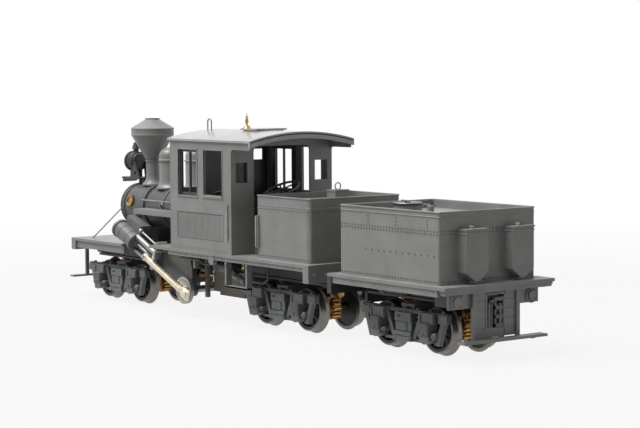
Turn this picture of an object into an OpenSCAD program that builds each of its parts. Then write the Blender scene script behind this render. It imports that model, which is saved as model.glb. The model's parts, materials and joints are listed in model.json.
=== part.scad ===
// Three-truck geared steam locomotive, narrow-gauge scale model with an electric drive.
// +X points to the tender end, -X to the smokebox, -Y is the locomotive's left side, +Z is up.
// Z = 0 is the bottom of the wheel flanges, and X = 0 is half way between the two footboards.

/* [Wheels and trucks] */
// Tread diameter of every wheel
wheel_d = 10.5; // [9.5:0.1:10.8]
// Radial height of the flange beyond the tread
flange_h = 0.64; // [0.4:0.02:0.8]
// Width of a wheel, flange included
wheel_w = 2.7; // [2.2:0.1:2.9]
// Distance between the backs of a wheelset's wheels
back_to_back = 9; // [8.6:0.1:9.4]
// Diameter of an axle
axle_d = 2; // [1.6:0.1:2.2]
// Diameter of the journal at an axle's end
journal_d = 1.4; // [1:0.1:1.6]
// Distance between the two axles of a truck
wheel_base = 17.2; // [16.8:0.1:19]
// Length of a truck's side frame
side_frame_l = 30; // [29:0.5:31]
// Distance from the centre line to the inner face of a side frame
side_frame_y = 8.3; // [8.1:0.1:8.6]
// Thickness of a side frame
side_frame_t = 1.2; // [0.8:0.1:1.4]
// How far the journal boxes stand out of the side frames
journal_box_out = 2.2; // [1.4:0.1:2.4]
// Diameter of a truck's king pin
king_pin_d = 2.4; // [2:0.1:2.8]

/* [Frames and decks] */
// Height of the main deck's top
main_deck_z = 18.2; // [17.8:0.1:19]
// Height of the pilot deck's top
pilot_deck_z = 17; // [16.6:0.1:17.4]
// Height of the tender deck's top
tender_deck_z = 17.1; // [16.8:0.1:18]
// Width of the main and tender decks
deck_w = 32.6; // [31.6:0.1:34]
// Width of the pilot deck
pilot_w = 25.6; // [25:0.1:27]
// Thickness of the deck plates
deck_t = 0.7; // [0.5:0.05:0.9]
// Length of the main frame, from the pilot beam to the rear beam
main_l = 117.8; // [117:0.2:122]
// Length of the tender frame
tender_l = 41.3; // [40:0.1:44]
// Gap between the main deck and the tender deck
deck_gap = 7.3; // [6:0.1:10]
// How far each footboard stands out past its deck
footboard_out = 1.9; // [1.2:0.1:3]
// Distance from the pilot beam to the front truck's centre
front_truck_in = 19.7; // [19:0.1:21]
// Distance from the main frame's rear beam to the middle truck's centre
middle_truck_in = 21.3; // [19:0.1:22.5]
// Distance from the tender frame's front to the rear truck's centre
rear_truck_in = 19.5; // [18.5:0.1:21]

/* [Cab and bunker] */
// Distance from the main deck's rear edge to the cab's rear wall
cab_rear_in = 32.5; // [32:0.1:33.5]
// Length of the cab
cab_l = 27.9; // [26.5:0.1:28.5]
// Width of the cab
cab_w = 31.5; // [30.5:0.1:32]
// Height of the cab's side walls above the deck
cab_h = 28; // [27:0.1:30]
// Thickness of the cab's walls
cab_wall = 0.6; // [0.4:0.05:0.8]
// Rise of the arched roof from its eaves to its crown
roof_rise = 2.1; // [1.8:0.1:4]
// Thickness of the roof
roof_t = 0.5; // [0.4:0.05:0.7]
// How far the roof reaches back past the cab's rear wall
roof_back = 8.8; // [6:0.1:9.5]
// Height of a cab side window
window_h = 11.8; // [9:0.1:12.5]
// Length of the bunker
bunker_l = 21.7; // [20:0.1:22]
// Width of the bunker
bunker_w = 27.8; // [26:0.1:30]
// Height of the bunker
bunker_h = 15.4; // [14:0.1:18]
// Gap between the cab's rear wall and the bunker
gangway = 8.2; // [7.5:0.1:9]
// Diameter of the hand brake's wheel
brake_d = 10; // [8:0.1:10.4]

/* [Boiler] */
// Diameter of the smokebox
smokebox_d = 12; // [11:0.1:12.6]
// Diameter of the boiler barrel
boiler_d = 11.4; // [10.4:0.1:11.8]
// Height of the boiler's axis
boiler_z = 26.7; // [26.2:0.1:28]
// Length of the smokebox
smokebox_l = 11.5; // [10:0.1:13]
// Wall of the boiler and the smokebox
boiler_wall = 0.6; // [0.4:0.05:0.8]
// Widest diameter of the diamond stack
stack_d = 12; // [10:0.1:13]
// Height of the stack above the smokebox
stack_h = 18.8; // [16:0.1:20]
// Diameter of the stack's pipe
stack_pipe_d = 3.8; // [3:0.1:4.4]
// Diameter of the sand dome
sand_dome_d = 6.2; // [5:0.1:7]
// Diameter of the steam dome
steam_dome_d = 7; // [6:0.1:7.6]
// Height of the domes above the boiler
dome_h = 11.8; // [9:0.1:12.5]
// Diameter of the headlight's drum
headlight_d = 5.2; // [5:0.1:6.4]

/* [Engine] */
// Slope of the cylinders
cylinder_slope = 23; // [21:0.5:25]
// Throw of the crank
crank_throw = 1.9; // [1.6:0.05:2.1]
// Diameter of a crank disc
crank_disc_d = 7.1; // [6.6:0.1:7.6]
// Distance between the main rod's two pins
main_rod_l = 20.7; // [20:0.1:21.5]
// Outside diameter of a cylinder
cylinder_d = 4.6; // [4.2:0.1:5]
// Length of a cylinder
cylinder_l = 9.2; // [8.6:0.1:11]
// Distance of the cylinders' axes from the centre line
cylinder_y = 13.2; // [13:0.1:13.4]
// Height of the crankshaft
crank_z = 7.3; // [6.8:0.1:7.4]
// Height of the line shaft
line_shaft_z = 9.7; // [9.6:0.05:9.8]

/* [Tender] */
// Length of the tender's tank
tank_l = 34.8; // [33:0.1:35.2]
// Width of the tender's tank
tank_w = 28.3; // [27:0.1:30]
// Height of the tender's tank
tank_h = 15.75; // [14:0.05:18]
// Distance from the tender deck's front edge to the tank
tank_in = 2.2; // [1.6:0.1:2.6]
// Height of a feed box on the back of the tank
feed_box_h = 11; // [9:0.1:12]
// Width of a feed box
feed_box_w = 6.4; // [5:0.1:7.5]
// Depth of a feed box
feed_box_d = 2.8; // [2.2:0.1:3]

/* [Fits] */
// Radial clearance of a shaft in its bearing
run_gap = 0.05; // [0.03:0.01:0.08]
// Clearance between pieces that move past each other
slide_gap = 0.3; // [0.2:0.05:0.4]
// Seam between pieces that are fastened side by side
seam = 0.02; // [0.01:0.01:0.05]

/* [Hidden] */
$fn = 48;
fit = 0.01; // overshoot of a cut past the face it opens

// Heights
axle_z = wheel_d / 2 + flange_h;
rail_top = axle_z + 4.4;
truck_bolster_top = line_shaft_z + 2;
body_bolster_z = truck_bolster_top + slide_gap;

// Stations along X
overall_l = main_l + deck_gap + tender_l + 2 * footboard_out;
pilot_x = footboard_out - overall_l / 2;
main_rear_x = pilot_x + main_l;
tender_front_x = main_rear_x + deck_gap;
tender_rear_x = tender_front_x + tender_l;
front_truck_x = pilot_x + front_truck_in;
middle_truck_x = main_rear_x - middle_truck_in;
rear_truck_x = tender_front_x + rear_truck_in;
cab_rear_x = main_rear_x - cab_rear_in;
cab_front_x = cab_rear_x - cab_l;
bunker_x = cab_rear_x + gangway;
side_channel_x = cab_front_x - 1;
wide_deck_x = side_channel_x - 9.1;
crank_x = cab_front_x + 3.6;
boiler_rear_x = cab_front_x + 5;
smokebox_x = pilot_x + 16.8;
smokebox_rear_x = smokebox_x + smokebox_l;
stack_x = smokebox_x + 7;
sand_dome_x = smokebox_rear_x + 4.5;
steam_dome_x = cab_front_x - 10.4;
tank_x = tender_front_x + tank_in;
pilot_deck_l = 28;
drawbar_x = main_rear_x - 1.9;
drawbar_z = 15;

// Trucks
bolster_w = 4.6;
gear_d = 6;
gear_teeth = 20;
gear_w = 2;
worm_d = 2 * (line_shaft_z - axle_z - gear_d / 2 - 0.06);
line_shaft_d = 1;
king_pin_l = 3.5;

// Frame members
sill_y = 4.6;
sill_t = 1;
sill_bottom = 12.6;
beam_t = 2.2;
pilot_beam_h = 2.6;
main_beam_h = 4.3;
deck_edge_h = 1.7;
deck_lip = 0.3;
tender_edge_h = 2.2;
tender_beam_w = 26.6;
tender_beam_in = 2.8;
tender_beam_h = 4;
tender_beam_top = tender_deck_z - deck_t - seam;
footboard_z = 4.6;
pilot_footboard_z = 5.6;
footboard_w = 24.6;
footboard_t = 0.5;
hanger_y = 6.4;
hanger_t = 0.6;

// Cab
roof_w = deck_w - 0.2;
eave_z = main_deck_z + cab_h;
roof_r = (roof_w * roof_w / 4 + roof_rise * roof_rise) / (2 * roof_rise);
roof_front_x = cab_front_x - 0.5;
roof_rear_x = cab_rear_x + roof_back;
roof_hatch_x = cab_rear_x - 11.5;
roof_hatch_l = 7;
roof_hatch_top = eave_z + roof_rise + roof_t + 0.5;
window_top = cab_h - 2.2;
front_window = [3.9, 8.8];
rear_window = [15.7, 8.3];
lower_panel = [3.7, 3.4, 19.6, 6.2];
door_w = 17.6;
door_h = 26.9;
wall_window = [10.3, 17.9, 4, 5];

// Bunker hatch
hatch_x = main_rear_x - 17;
hatch_y = 4.4;
hatch_l = 3.4;
hatch_w = 4.2;
hatch_top = main_deck_z + bunker_h + 0.5;

// Hand brake
brake_tilt = 24;
brake_staff_d = 0.7;
brake_x = bunker_x - brake_d / 2 - slide_gap;
brake_y = -2.6;
brake_top = main_deck_z + bunker_h + 0.5;
brake_staff_l = (brake_top - main_deck_z - 0.5) / cos(brake_tilt);

// Engine
crank_disc_t = 1;
rod_t = 0.9;
rod_gap = 0.15;
crank_disc_y = cylinder_y + 0.2;
rod_y = crank_disc_y + crank_disc_t + rod_gap;
crankshaft_d = 1.8;
crank_plate_y = 10.9;
crank_plate_t = 0.9;
guide_off = 1.8;
guide_d = 1.6;
wrist_pin_r = 0.45;
piston_rod_r = 0.45;
piston_t = 1.2;
cover_t = 0.7;
// stations along a cylinder's sloping axis, counted from the crankshaft
inner_wrist_s = main_rod_l - crank_throw;
guide_front_s = inner_wrist_s - 2;
cylinder_rear_s = inner_wrist_s + 8.2;
// distance from the wrist pin to the piston: half way along the bore at mid stroke
piston_in = cylinder_rear_s + cylinder_l / 2 - piston_t / 2 - main_rod_l;
line_shaft_end = wheel_base / 2 + 4.2;
joint_gap = 1.5;
tower_x = crank_x - 17;
tower_l = 6.8;
bearing_x = crank_x + 2.4;
bearing_t = 1.2;

// Tender
filler_x = tank_x + 10.4;
filler_y = -2.6;
filler_d = 6.6;
feed_x = tank_x + tank_l + seam;
feed_z = tender_deck_z + tank_h - 4.1;
feed_hinge = 0.45; // from the tank's back to the lids' hinge line
coupler_board_t = 0.8;
coupler_board_top = tender_deck_z - tender_edge_h + 0.4 - seam;

LEFT = -1;
RIGHT = 1;
// Distance of a feed box's middle from the centre line, with its side's sign
function feed_y(side) = side == LEFT ? -5.6 : 8;
// Crank angle past the dead centre nearest the cylinder
function crank_phase(side) = side == LEFT ? 180 : 90;
// Distance of the wrist pin from the crankshaft along the cylinder's axis
function wrist_s(side) = crank_throw * cos(crank_phase(side))
    + sqrt(main_rod_l * main_rod_l - pow(crank_throw * sin(crank_phase(side)), 2));
function rod_angle(side) = asin(crank_throw * sin(crank_phase(side)) / main_rod_l);

// ---- Helpers ----

// A box from one corner to the opposite corner
module slab(low, high) {
    translate(low) cube(high - low);
}

// A box centred on Y = 0
module centred(x0, x1, w, z0, z1) {
    slab([x0, -w / 2, z0], [x1, w / 2, z1]);
}

// A cylinder along X from x0 to x1
module rod_x(x0, x1, y, z, d) {
    translate([x0, y, z]) rotate([0, 90, 0]) cylinder(d = d, h = x1 - x0);
}

// A cylinder along Y from y0 to y1
module rod_y(y0, y1, x, z, d) {
    translate([x, y1, z]) rotate([90, 0, 0]) cylinder(d = d, h = y1 - y0);
}

// A straight round bar between two points
module bar(a, b, d) {
    v = b - a;
    l = norm(v);
    translate(a) rotate([0, acos(v[2] / l), atan2(v[1], v[0])]) cylinder(d = d, h = l, $fn = 24);
}

// An outline in the XZ plane, t thick, with its outer face at distance y on one side
module side_plate(side, y, t) {
    translate([0, side == LEFT ? -y + t : y, 0]) rotate([90, 0, 0]) linear_extrude(t) children();
}

// The same shape on the left and on the right
module both_sides() {
    children();
    mirror([0, 1, 0]) children();
}

// Children placed on the cylinder's sloping axis: X runs from the crankshaft towards the cylinder
module on_slope(side) {
    translate([crank_x, side * cylinder_y, crank_z]) rotate([0, cylinder_slope, 0]) mirror([1, 0, 0]) children();
}

module rounded_rect(w, h, r) {
    hull()
        for (x = [r, w - r], y = [r, h - r]) translate([x, y]) circle(r, $fn = 24);
}

// ---- Main frame ----

module main_deck() color("dimgray") {
    z = main_deck_z;
    difference() {
        centred(wide_deck_x, main_rear_x, deck_w, z - deck_t, z);
        centred(wide_deck_x - fit, boiler_rear_x, 13, z - deck_t - fit, z + fit);
    }
    both_sides()
        slab([side_channel_x, deck_lip - deck_w / 2, z - deck_edge_h], [main_rear_x - beam_t - seam, 1 - deck_w / 2, z - deck_t]);
    staff_bush();
}

module king_bore(x, z0, z1) {
    translate([x, 0, z0 - fit]) cylinder(d = king_pin_d + 2 * run_gap, h = z1 - z0 + 2 * fit);
}

module main_sills() color("dimgray") {
    top = pilot_deck_z - deck_t - seam;
    both_sides()
        slab([pilot_x + beam_t + seam, -sill_y - sill_t, sill_bottom], [main_rear_x - beam_t - seam, -sill_y, top]);
    for (x = [front_truck_x, middle_truck_x])
        difference() {
            centred(x - bolster_w / 2, x + bolster_w / 2, 2 * sill_y, body_bolster_z, top);
            king_bore(x, body_bolster_z, top);
        }
}

module pilot_deck() color("dimgray") {
    z = pilot_deck_z;
    centred(pilot_x, pilot_x + pilot_deck_l, pilot_w, z - deck_t, z);
    both_sides()
        slab([pilot_x + beam_t + seam, -pilot_w / 2 + 0.5, z - deck_t - 2], [pilot_x + pilot_deck_l, 1.5 - pilot_w / 2, z - deck_t]);
}

module end_beams() color("dimgray") {
    centred(pilot_x, pilot_x + beam_t, pilot_w, pilot_deck_z - deck_t - pilot_beam_h, pilot_deck_z - deck_t - seam);
    difference() {
        centred(main_rear_x - beam_t, main_rear_x, deck_w, main_deck_z - main_beam_h, main_deck_z - deck_t - seam);
        drawbar_slot();
    }
    slab([main_rear_x - beam_t - 1.4, -sill_y + seam, drawbar_z - 0.6 - 1], [main_rear_x - beam_t - seam, sill_y - seam, drawbar_z - 0.6 - slide_gap]);
    translate([drawbar_x, 0, drawbar_z - 1.6]) cylinder(d = 1.2, h = 2);
}

// Room in the rear beam for the drawbar's end and its swing
module drawbar_slot() {
    centred(main_rear_x - beam_t - fit, main_rear_x + fit, 5, drawbar_z - 0.6 - slide_gap, drawbar_z + 0.6 + slide_gap);
}

// A board z0 above the rails, on two hangers that reach up to z1
module footboard(x0, x1, z0, z1, hanger_x, y) {
    centred(x0, x1, footboard_w, z0, z0 + footboard_t);
    both_sides()
        slab([hanger_x, -y - 0.5, z0], [hanger_x + hanger_t, -y + 0.5, z1]);
}

module front_footboard() color("dimgray") {
    footboard(pilot_x - footboard_out, pilot_x - seam, pilot_footboard_z, pilot_deck_z - deck_t, pilot_x - seam - hanger_t, 7.6);
}

module cab_steps() color("gray") {
    x0 = cab_rear_x - 2.8;
    x1 = bunker_x - 1.4;
    top = main_deck_z - deck_edge_h - seam;
    depth = 1.6;
    both_sides() {
        for (x = [x0, x1 - 0.6])
            slab([x, -deck_w / 2 + 0.4, main_deck_z - 8.2], [x + 0.6, 0.4 + depth - deck_w / 2, top]);
        slab([x0, -deck_w / 2 + 0.4, main_deck_z - 8.2], [x1, 0.4 + depth - deck_w / 2, main_deck_z - 7.7]);
    }
}

// ---- Boiler and its fittings ----

module tube_x(x0, x1, d, wall) {
    difference() {
        rod_x(x0, x1, 0, boiler_z, d);
        rod_x(x0 - fit, x1 + fit, 0, boiler_z, d - 2 * wall);
    }
}

module boiler() color("dimgray") {
    x0 = smokebox_rear_x + seam;
    tube_x(x0, boiler_rear_x, boiler_d, boiler_wall);
    for (x = [x0 + 8.8, cab_front_x - 5.6, cab_front_x - 1])
        tube_x(x, x + 0.7, boiler_d + 0.4, boiler_wall + 0.2);
    // firebox between the frames, under the barrel's rear end
    difference() {
        centred(cab_front_x - 9, boiler_rear_x, 2 * sill_y + 2 * sill_t, main_deck_z, boiler_z - 2);
        rod_x(cab_front_x - 9 - fit, boiler_rear_x + fit, 0, boiler_z, boiler_d - fit);
    }
}

module smokebox() color("dimgray") {
    tube_x(smokebox_x, smokebox_rear_x, smokebox_d, boiler_wall);
    tube_x(smokebox_x + 0.6, smokebox_x + 1.4, smokebox_d + 0.4, boiler_wall + 0.2);
    tube_x(smokebox_rear_x - 0.9, smokebox_rear_x - 0.1, smokebox_d + 0.4, boiler_wall + 0.2);
    // front plate, door and its strap hinge
    rod_x(smokebox_x - 0.6, smokebox_x, 0, boiler_z, smokebox_d + 0.2);
    rod_x(smokebox_x - 1, smokebox_x - 0.6, 0, boiler_z, smokebox_d * 0.68);
    rod_x(smokebox_x - 1.4, smokebox_x - 1, 0, boiler_z, 1.8);
    // saddle down to the frame
    difference() {
        centred(smokebox_x + 2, smokebox_x + 9.6, 2 * sill_y, pilot_deck_z + seam, boiler_z - smokebox_d / 2 + 1.5);
        rod_x(smokebox_x + 2 - fit, smokebox_x + 9.6 + fit, 0, boiler_z, smokebox_d - 2 * fit);
    }
}

module smokestack() color("dimgray") {
    base = boiler_z + smokebox_d / 2 - 0.35;
    r_pipe = stack_pipe_d / 2;
    r_max = stack_d / 2;
    cone_z = 7.2;
    band_z = stack_h - 4.7;
    cap_z = stack_h - 2.75;
    difference() {
        translate([stack_x, 0, base])
            rotate_extrude()
                polygon([
                    [r_pipe - 0.5, 0], [r_pipe + 1.2, 0], [r_pipe + 1, 0.6], [r_pipe + 0.2, 1.5], [r_pipe, 2.2],
                    [r_pipe, cone_z], [r_max, band_z], [r_max, cap_z], [r_pipe - 0.1, stack_h],
                    [r_pipe - 0.5, stack_h], [r_pipe - 0.5, 0]
                ]);
        rod_x(stack_x - 4, stack_x + 4, 0, boiler_z, smokebox_d + 2 * seam);
    }
}

// A turned dome with a flared foot, a moulded waist and a rounded cap
module dome(x, d, h) {
    r = d / 2;
    cap = r * 0.75;
    difference() {
        translate([x, 0, boiler_z + boiler_d / 2 - 0.9])
            rotate_extrude()
                polygon(concat(
                    [[0, 0], [r + 0.9, 0], [r + 0.8, 0.9], [r + 0.1, 1.6], [r, 2], [r, h - cap]],
                    [for (a = [5 : 10 : 85]) [r * cos(a), h - cap + cap * sin(a)]],
                    [[0, h]]
                ));
        rod_x(x - d, x + d, 0, boiler_z, boiler_d + 2 * seam);
    }
}

module domes() color("dimgray") {
    dome(sand_dome_x, sand_dome_d, dome_h);
    dome(steam_dome_x, steam_dome_d, dome_h + 0.6);
}

module headlight() color("dimgray") {
    shelf_z = boiler_z + smokebox_d / 2 + 1.3;
    drum_z = shelf_z + 2.3 + headlight_d / 2;
    x0 = smokebox_x - 3.5;
    shelf_x = x0 - 2.5;
    drum_l = 3.2;
    // lamp drum, rim and chimney
    difference() {
        union() {
            rod_x(x0, x0 + drum_l, 0, drum_z, headlight_d);
            rod_x(x0 - 0.3, x0 + 0.4, 0, drum_z, headlight_d + 0.5);
        }
        rod_x(x0 - 0.3 - fit, x0 + 1, 0, drum_z, headlight_d - 0.9);
    }
    translate([x0 + drum_l / 2, 0, drum_z + headlight_d / 2 - 0.3]) {
        cylinder(d = 1.6, h = 1.6);
        translate([0, 0, 1.2]) cylinder(d1 = 2.4, d2 = 1.2, h = 1.8);
    }
    // foot, shelf and the two side brackets
    centred(x0 + 0.8, x0 + drum_l - 0.8, 3, shelf_z + 0.5 - fit, drum_z - headlight_d / 2 + 0.4);
    centred(shelf_x, stack_x - stack_pipe_d / 2 - 1.5, 4.6, shelf_z, shelf_z + 0.5);
    both_sides()
        translate([0, -1.7, 0]) rotate([90, 0, 0]) linear_extrude(0.5)
            difference() {
                polygon([
                    [x0 + drum_l + 0.2, shelf_z + 0.4], [x0 + drum_l - 0.6, drum_z], [x0 + drum_l + 1, drum_z],
                    [stack_x - 4, shelf_z + 0.4]
                ]);
                translate([x0 + drum_l + 1.3, shelf_z + 1.6]) circle(0.55);
            }
    for (x = [smokebox_x + 0.4, stack_x - 4.6])
        difference() {
            centred(x, x + 0.6, 1.2, boiler_z + smokebox_d / 2 - 1, shelf_z);
            rod_x(x - fit, x + 0.6 + fit, 0, boiler_z, smokebox_d + 0.4 + 2 * seam);
        }
    // drooping lip under the shelf's front end
    translate([0, 2, 0]) rotate([90, 0, 0]) linear_extrude(4)
        polygon([[shelf_x, shelf_z + 0.1], [x0, shelf_z + 0.1], [shelf_x + 0.8, shelf_z - 0.9], [shelf_x, shelf_z - 0.9]]);
}

module running_boards() color("dimgray") {
    inner = boiler_d / 2 + 0.3;
    x0 = smokebox_rear_x + 1.5;
    z = boiler_z - 0.6;
    both_sides() {
        slab([x0, -10.2, z], [cab_front_x - seam, -inner, z + 0.6]);
        slab([x0, -10.2, z - 0.8], [cab_front_x - seam, -9.7, z]);
        for (x = [x0 + 1, x0 + 13, cab_front_x - 3])
            slab([x, -9.7, z - 0.6], [x + 0.6, -inner, z]);
    }
}

module handrails() color("dimgray") {
    rail_y = smokebox_d / 2 + 1;
    d = 0.45;
    both_sides() {
        // boiler handrail on its stanchions
        rod_x(smokebox_rear_x + 1, cab_front_x - seam, -rail_y, boiler_z + 2.2, d);
        for (x = [smokebox_rear_x + 2, smokebox_rear_x + 14, cab_front_x - 4])
            bar([x, -boiler_d / 2 - 0.05, boiler_z + 1.4], [x, -rail_y, boiler_z + 2.2], 0.35);
        // brace from the smokebox to the pilot deck
        bar([smokebox_x + 0.5, -smokebox_d / 2 - 0.15, boiler_z - 0.5], [pilot_x + 5.5, -pilot_w / 2 + 4, pilot_deck_z + 0.1], 0.35);
        // grab irons on both sides of the gangway
        grab_iron([cab_rear_x - 1.6, -cab_w / 2 - seam, main_deck_z + 4], 8.4, d);
        grab_iron([bunker_x + 1, -bunker_w / 2 - seam, main_deck_z + 2.6], 7.6, d);
    }
}

// A grab iron that stands out of a wall in the -Y direction
module grab_iron(p, h, d) {
    out = 0.5;
    translate(p) {
        for (z = [0, h])
            translate([0, 0, z]) rotate([90, 0, 0]) cylinder(d = d, h = out - d / 2, $fn = 24);
        translate([0, -out + d / 2, -d / 2]) cylinder(d = d, h = h + d, $fn = 24);
    }
}

module builders_plates() color("goldenrod") {
    for (side = [LEFT, RIGHT])
        translate([smokebox_x + 4.6, 0, boiler_z]) rotate([side * -75, 0, 0])
            translate([0, 0, smokebox_d / 2 + seam]) difference() {
                cylinder(d = 3.2, h = 0.5);
                translate([0, 0, 0.35]) cylinder(d = 2.5, h = 0.5);
            }
}

// ---- Cab ----

module side_wall_outline() {
    difference() {
        union() {
            square([cab_l, cab_h]);
            translate([0, cab_h - 1.8]) square([cab_l + roof_back - 0.6, 1.8]);
            translate([cab_l - fit, cab_h - 2.8]) difference() {
                square([1.1, 1.1]);
                translate([1.1, 0]) circle(1.1);
            }
        }
        translate([front_window[0], window_top - window_h]) square([front_window[1], window_h]);
        translate([rear_window[0], window_top - window_h]) square([rear_window[1], window_h]);
    }
}

module side_wall() {
    y = cab_w / 2;
    translate([cab_front_x, -y + cab_wall, main_deck_z + seam]) rotate([90, 0, 0])
        difference() {
            linear_extrude(cab_wall) side_wall_outline();
            translate([lower_panel[0], lower_panel[1], cab_wall - 0.2])
                cube([lower_panel[2], lower_panel[3], 1]);
        }
}

// Outline of an end wall in the YZ plane, under the arched roof
module end_wall_outline() {
    intersection() {
        translate([-cab_w / 2 + cab_wall + seam, 0]) square([cab_w - 2 * cab_wall - 2 * seam, cab_h + roof_rise + 2]);
        translate([0, eave_z - main_deck_z + roof_rise - roof_r]) circle(roof_r - seam, $fn = 180);
    }
}

module end_wall(x) {
    translate([x, 0, main_deck_z + seam]) rotate([90, 0, 90]) linear_extrude(cab_wall)
        difference() {
            end_wall_outline();
            children();
        }
}

module cab_walls() color("gray") {
    both_sides() side_wall();
    end_wall(cab_rear_x - cab_wall) {
        translate([-door_w / 2, -fit]) square([door_w, door_h - 2]);
        translate([-door_w / 2, door_h - 4]) rounded_rect(door_w, 4, 1.4);
        for (s = [-1, 1])
            translate([s * (wall_window[0] + wall_window[2] / 2) - wall_window[2] / 2, wall_window[1]])
                square([wall_window[2], wall_window[3]]);
    }
    end_wall(cab_front_x) {
        translate([0, boiler_z - main_deck_z]) circle(boiler_d / 2 + 0.25);
        translate([-sill_y - sill_t - 0.05, -fit]) square([2 * (sill_y + sill_t + 0.05), boiler_z - main_deck_z]);
        for (s = [-1, 1])
            translate([s * 10.8 - 3, window_top - 10.2]) square([6, 9.4]);
    }
}

module roof_arc(inner, outer, x0, x1) {
    translate([x0, 0, eave_z + roof_rise - roof_r]) rotate([90, 0, 90])
        linear_extrude(x1 - x0)
            intersection() {
                difference() {
                    circle(roof_r + outer, $fn = 180);
                    circle(roof_r + inner, $fn = 180);
                }
                translate([-roof_w / 2, roof_r - 2 * roof_rise - 2]) square([roof_w, 4 * roof_rise + 4]);
            }
}

// Height of the roof's outer face at a distance y from the centre line
function roof_top(y) = eave_z + roof_rise - roof_r + sqrt(pow(roof_r + roof_t, 2) - y * y);

module cab_roof() color("silver") {
    roof_arc(0, roof_t, roof_front_x, roof_rear_x);
    roof_arc(-1.2, 0, roof_rear_x - 0.5, roof_rear_x);
    // raised hatch plate on the crown
    x = roof_hatch_x;
    z = roof_top(0);
    centred(x + 0.6, x + roof_hatch_l - 0.6, 8.4, z - 0.5, z + 0.1 + fit);
    centred(x, x + roof_hatch_l, 9.6, z + 0.1, roof_hatch_top);
}

// A window's frame with one upright bar
module sash(x0, l) {
    z0 = main_deck_z + window_top - window_h + 0.05;
    frame = 0.7;
    y1 = -cab_w / 2 + 2 * cab_wall + seam;
    difference() {
        slab([x0 - 0.3, y1 - cab_wall + seam, z0 - 0.3], [x0 + l + 0.3, y1, z0 + window_h + 0.2]);
        slab([x0 + frame, y1 - 1, z0 + frame], [x0 + l / 2 - 0.2, y1 + 1, z0 + window_h - frame]);
        slab([x0 + l / 2 + 0.2, y1 - 1, z0 + frame], [x0 + l - frame, y1 + 1, z0 + window_h - frame]);
    }
}

module window_sashes() color("dimgray") {
    both_sides() sash(cab_front_x + front_window[0], front_window[1]);
}

module armrests() color("gainsboro") {
    x0 = cab_front_x + rear_window[0];
    z = main_deck_z + window_top - window_h + seam + 0.02;
    both_sides()
        slab([x0 + 0.05, -cab_w / 2 - 0.25, z], [x0 + rear_window[1] - 0.05, -cab_w / 2 + 0.9, z + 0.5]);
}

module backhead() color("dimgray") {
    x = boiler_rear_x + seam;
    rod_x(x, x + 0.8, 0, boiler_z, boiler_d + 1);
    centred(x, x + 0.8, boiler_d + 1, main_deck_z + seam, boiler_z);
    // firehole door, gauges, try cocks and throttle quadrant
    centred(x + 0.8, x + 1.2, 3.4, boiler_z - 5.4, boiler_z - 2.6);
    for (y = [-2.2, 2.2]) rod_x(x + 0.8, x + 1.5, y, boiler_z + 3, 1.9);
    for (z = [-1, 0.4, 1.8]) rod_x(x + 0.8, x + 1.8, 4, boiler_z + z - 0.6, 0.5);
    rod_x(x + 0.8, x + 2.6, 0, boiler_z + 0.6, 0.8);
    bar([x + 2.3, 0, boiler_z + 0.6], [x + 2.3, 4.2, boiler_z + 1.8], 0.5);
}

module whistle() color("goldenrod") {
    translate([roof_hatch_x + 1.2, -3.6, roof_hatch_top + seam])
        rotate_extrude($fn = 32)
            polygon([
                [0, 0], [1.1, 0], [0.5, 0.7], [0.22, 0.9], [0.22, 1.3], [0.42, 1.35], [0.42, 2.3], [0.2, 2.35],
                [0.2, 2.6], [0.34, 2.75], [0.34, 3], [0.12, 3.2], [0.08, 3.8], [0, 3.8]
            ]);
}

module roof_loop() color("silver") {
    r = 0.85;
    d = 0.35;
    y = 5.5;
    leg = 2.1;
    translate([roof_front_x + 3.8, -y, roof_top(y - d / 2) + seam]) {
        for (x = [-r, r]) translate([x, 0, 0]) cylinder(d = d, h = leg, $fn = 20);
        translate([0, 0, leg]) rotate([90, 0, 0]) rotate_extrude(angle = 180, $fn = 40) translate([r, 0]) circle(d = d, $fn = 20);
    }
}

// ---- Bunker ----

module bunker() color("gray") {
    x0 = bunker_x;
    x1 = bunker_x + bunker_l;
    z = main_deck_z + seam;
    z1 = main_deck_z + bunker_h;
    wall = 0.5;
    difference() {
        translate([x0, -bunker_w / 2, z]) linear_extrude(z1 - z) rounded_rect(bunker_l, bunker_w, 0.9);
        centred(x0 + wall, x1 - wall, bunker_w - 2 * wall, z + 1, z1 - 2.1);
        centred(x0 + wall, x1 - wall, bunker_w - 2 * wall, z1 - 1.4, z1 + fit);
    }
    hatch_frame();
}

module hatch_frame() {
    difference() {
        slab([hatch_x, hatch_y - hatch_w / 2, main_deck_z + bunker_h - 1.4 - fit],
             [hatch_x + hatch_l, hatch_y + hatch_w / 2, hatch_top]);
        slab([hatch_x + 0.5, hatch_y - hatch_w / 2 + 0.5, main_deck_z + bunker_h - 1],
             [hatch_x + hatch_l - 0.5, hatch_y + hatch_w / 2 - 0.5, hatch_top + fit]);
    }
}

module bunker_hatch() color("gray") {
    lid_z = hatch_top + 0.05;
    slab([hatch_x - 0.1, hatch_y - hatch_w / 2 - 0.1, lid_z], [hatch_x + hatch_l + 0.1, hatch_y + hatch_w / 2 + 0.1, lid_z + 0.45]);
    translate([hatch_x + hatch_l / 2, hatch_y, lid_z + 0.4 + 0.85]) rotate([90, 0, 90])
        rotate_extrude($fn = 40) translate([0.85, 0]) circle(d = 0.3, $fn = 20);
}

// Children placed on the brake staff's axis, with Z = 0 at the wheel's middle
module on_staff() {
    translate([brake_x, brake_y, brake_top]) rotate([brake_tilt, 0, 0]) children();
}

module brake_wheel() color("dimgray") on_staff() {
    rotate_extrude($fn = 64) translate([brake_d / 2 - 0.3, 0]) circle(d = 0.6, $fn = 20);
    cylinder(d = 1.3, h = 0.7, center = true);
    for (a = [0 : 72 : 288])
        rotate([0, 0, a]) translate([0.4, -0.2, -0.15]) cube([brake_d / 2 - 0.8, 0.4, 0.3]);
    translate([0, 0, -brake_staff_l]) cylinder(d = brake_staff_d, h = brake_staff_l);
}

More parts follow.
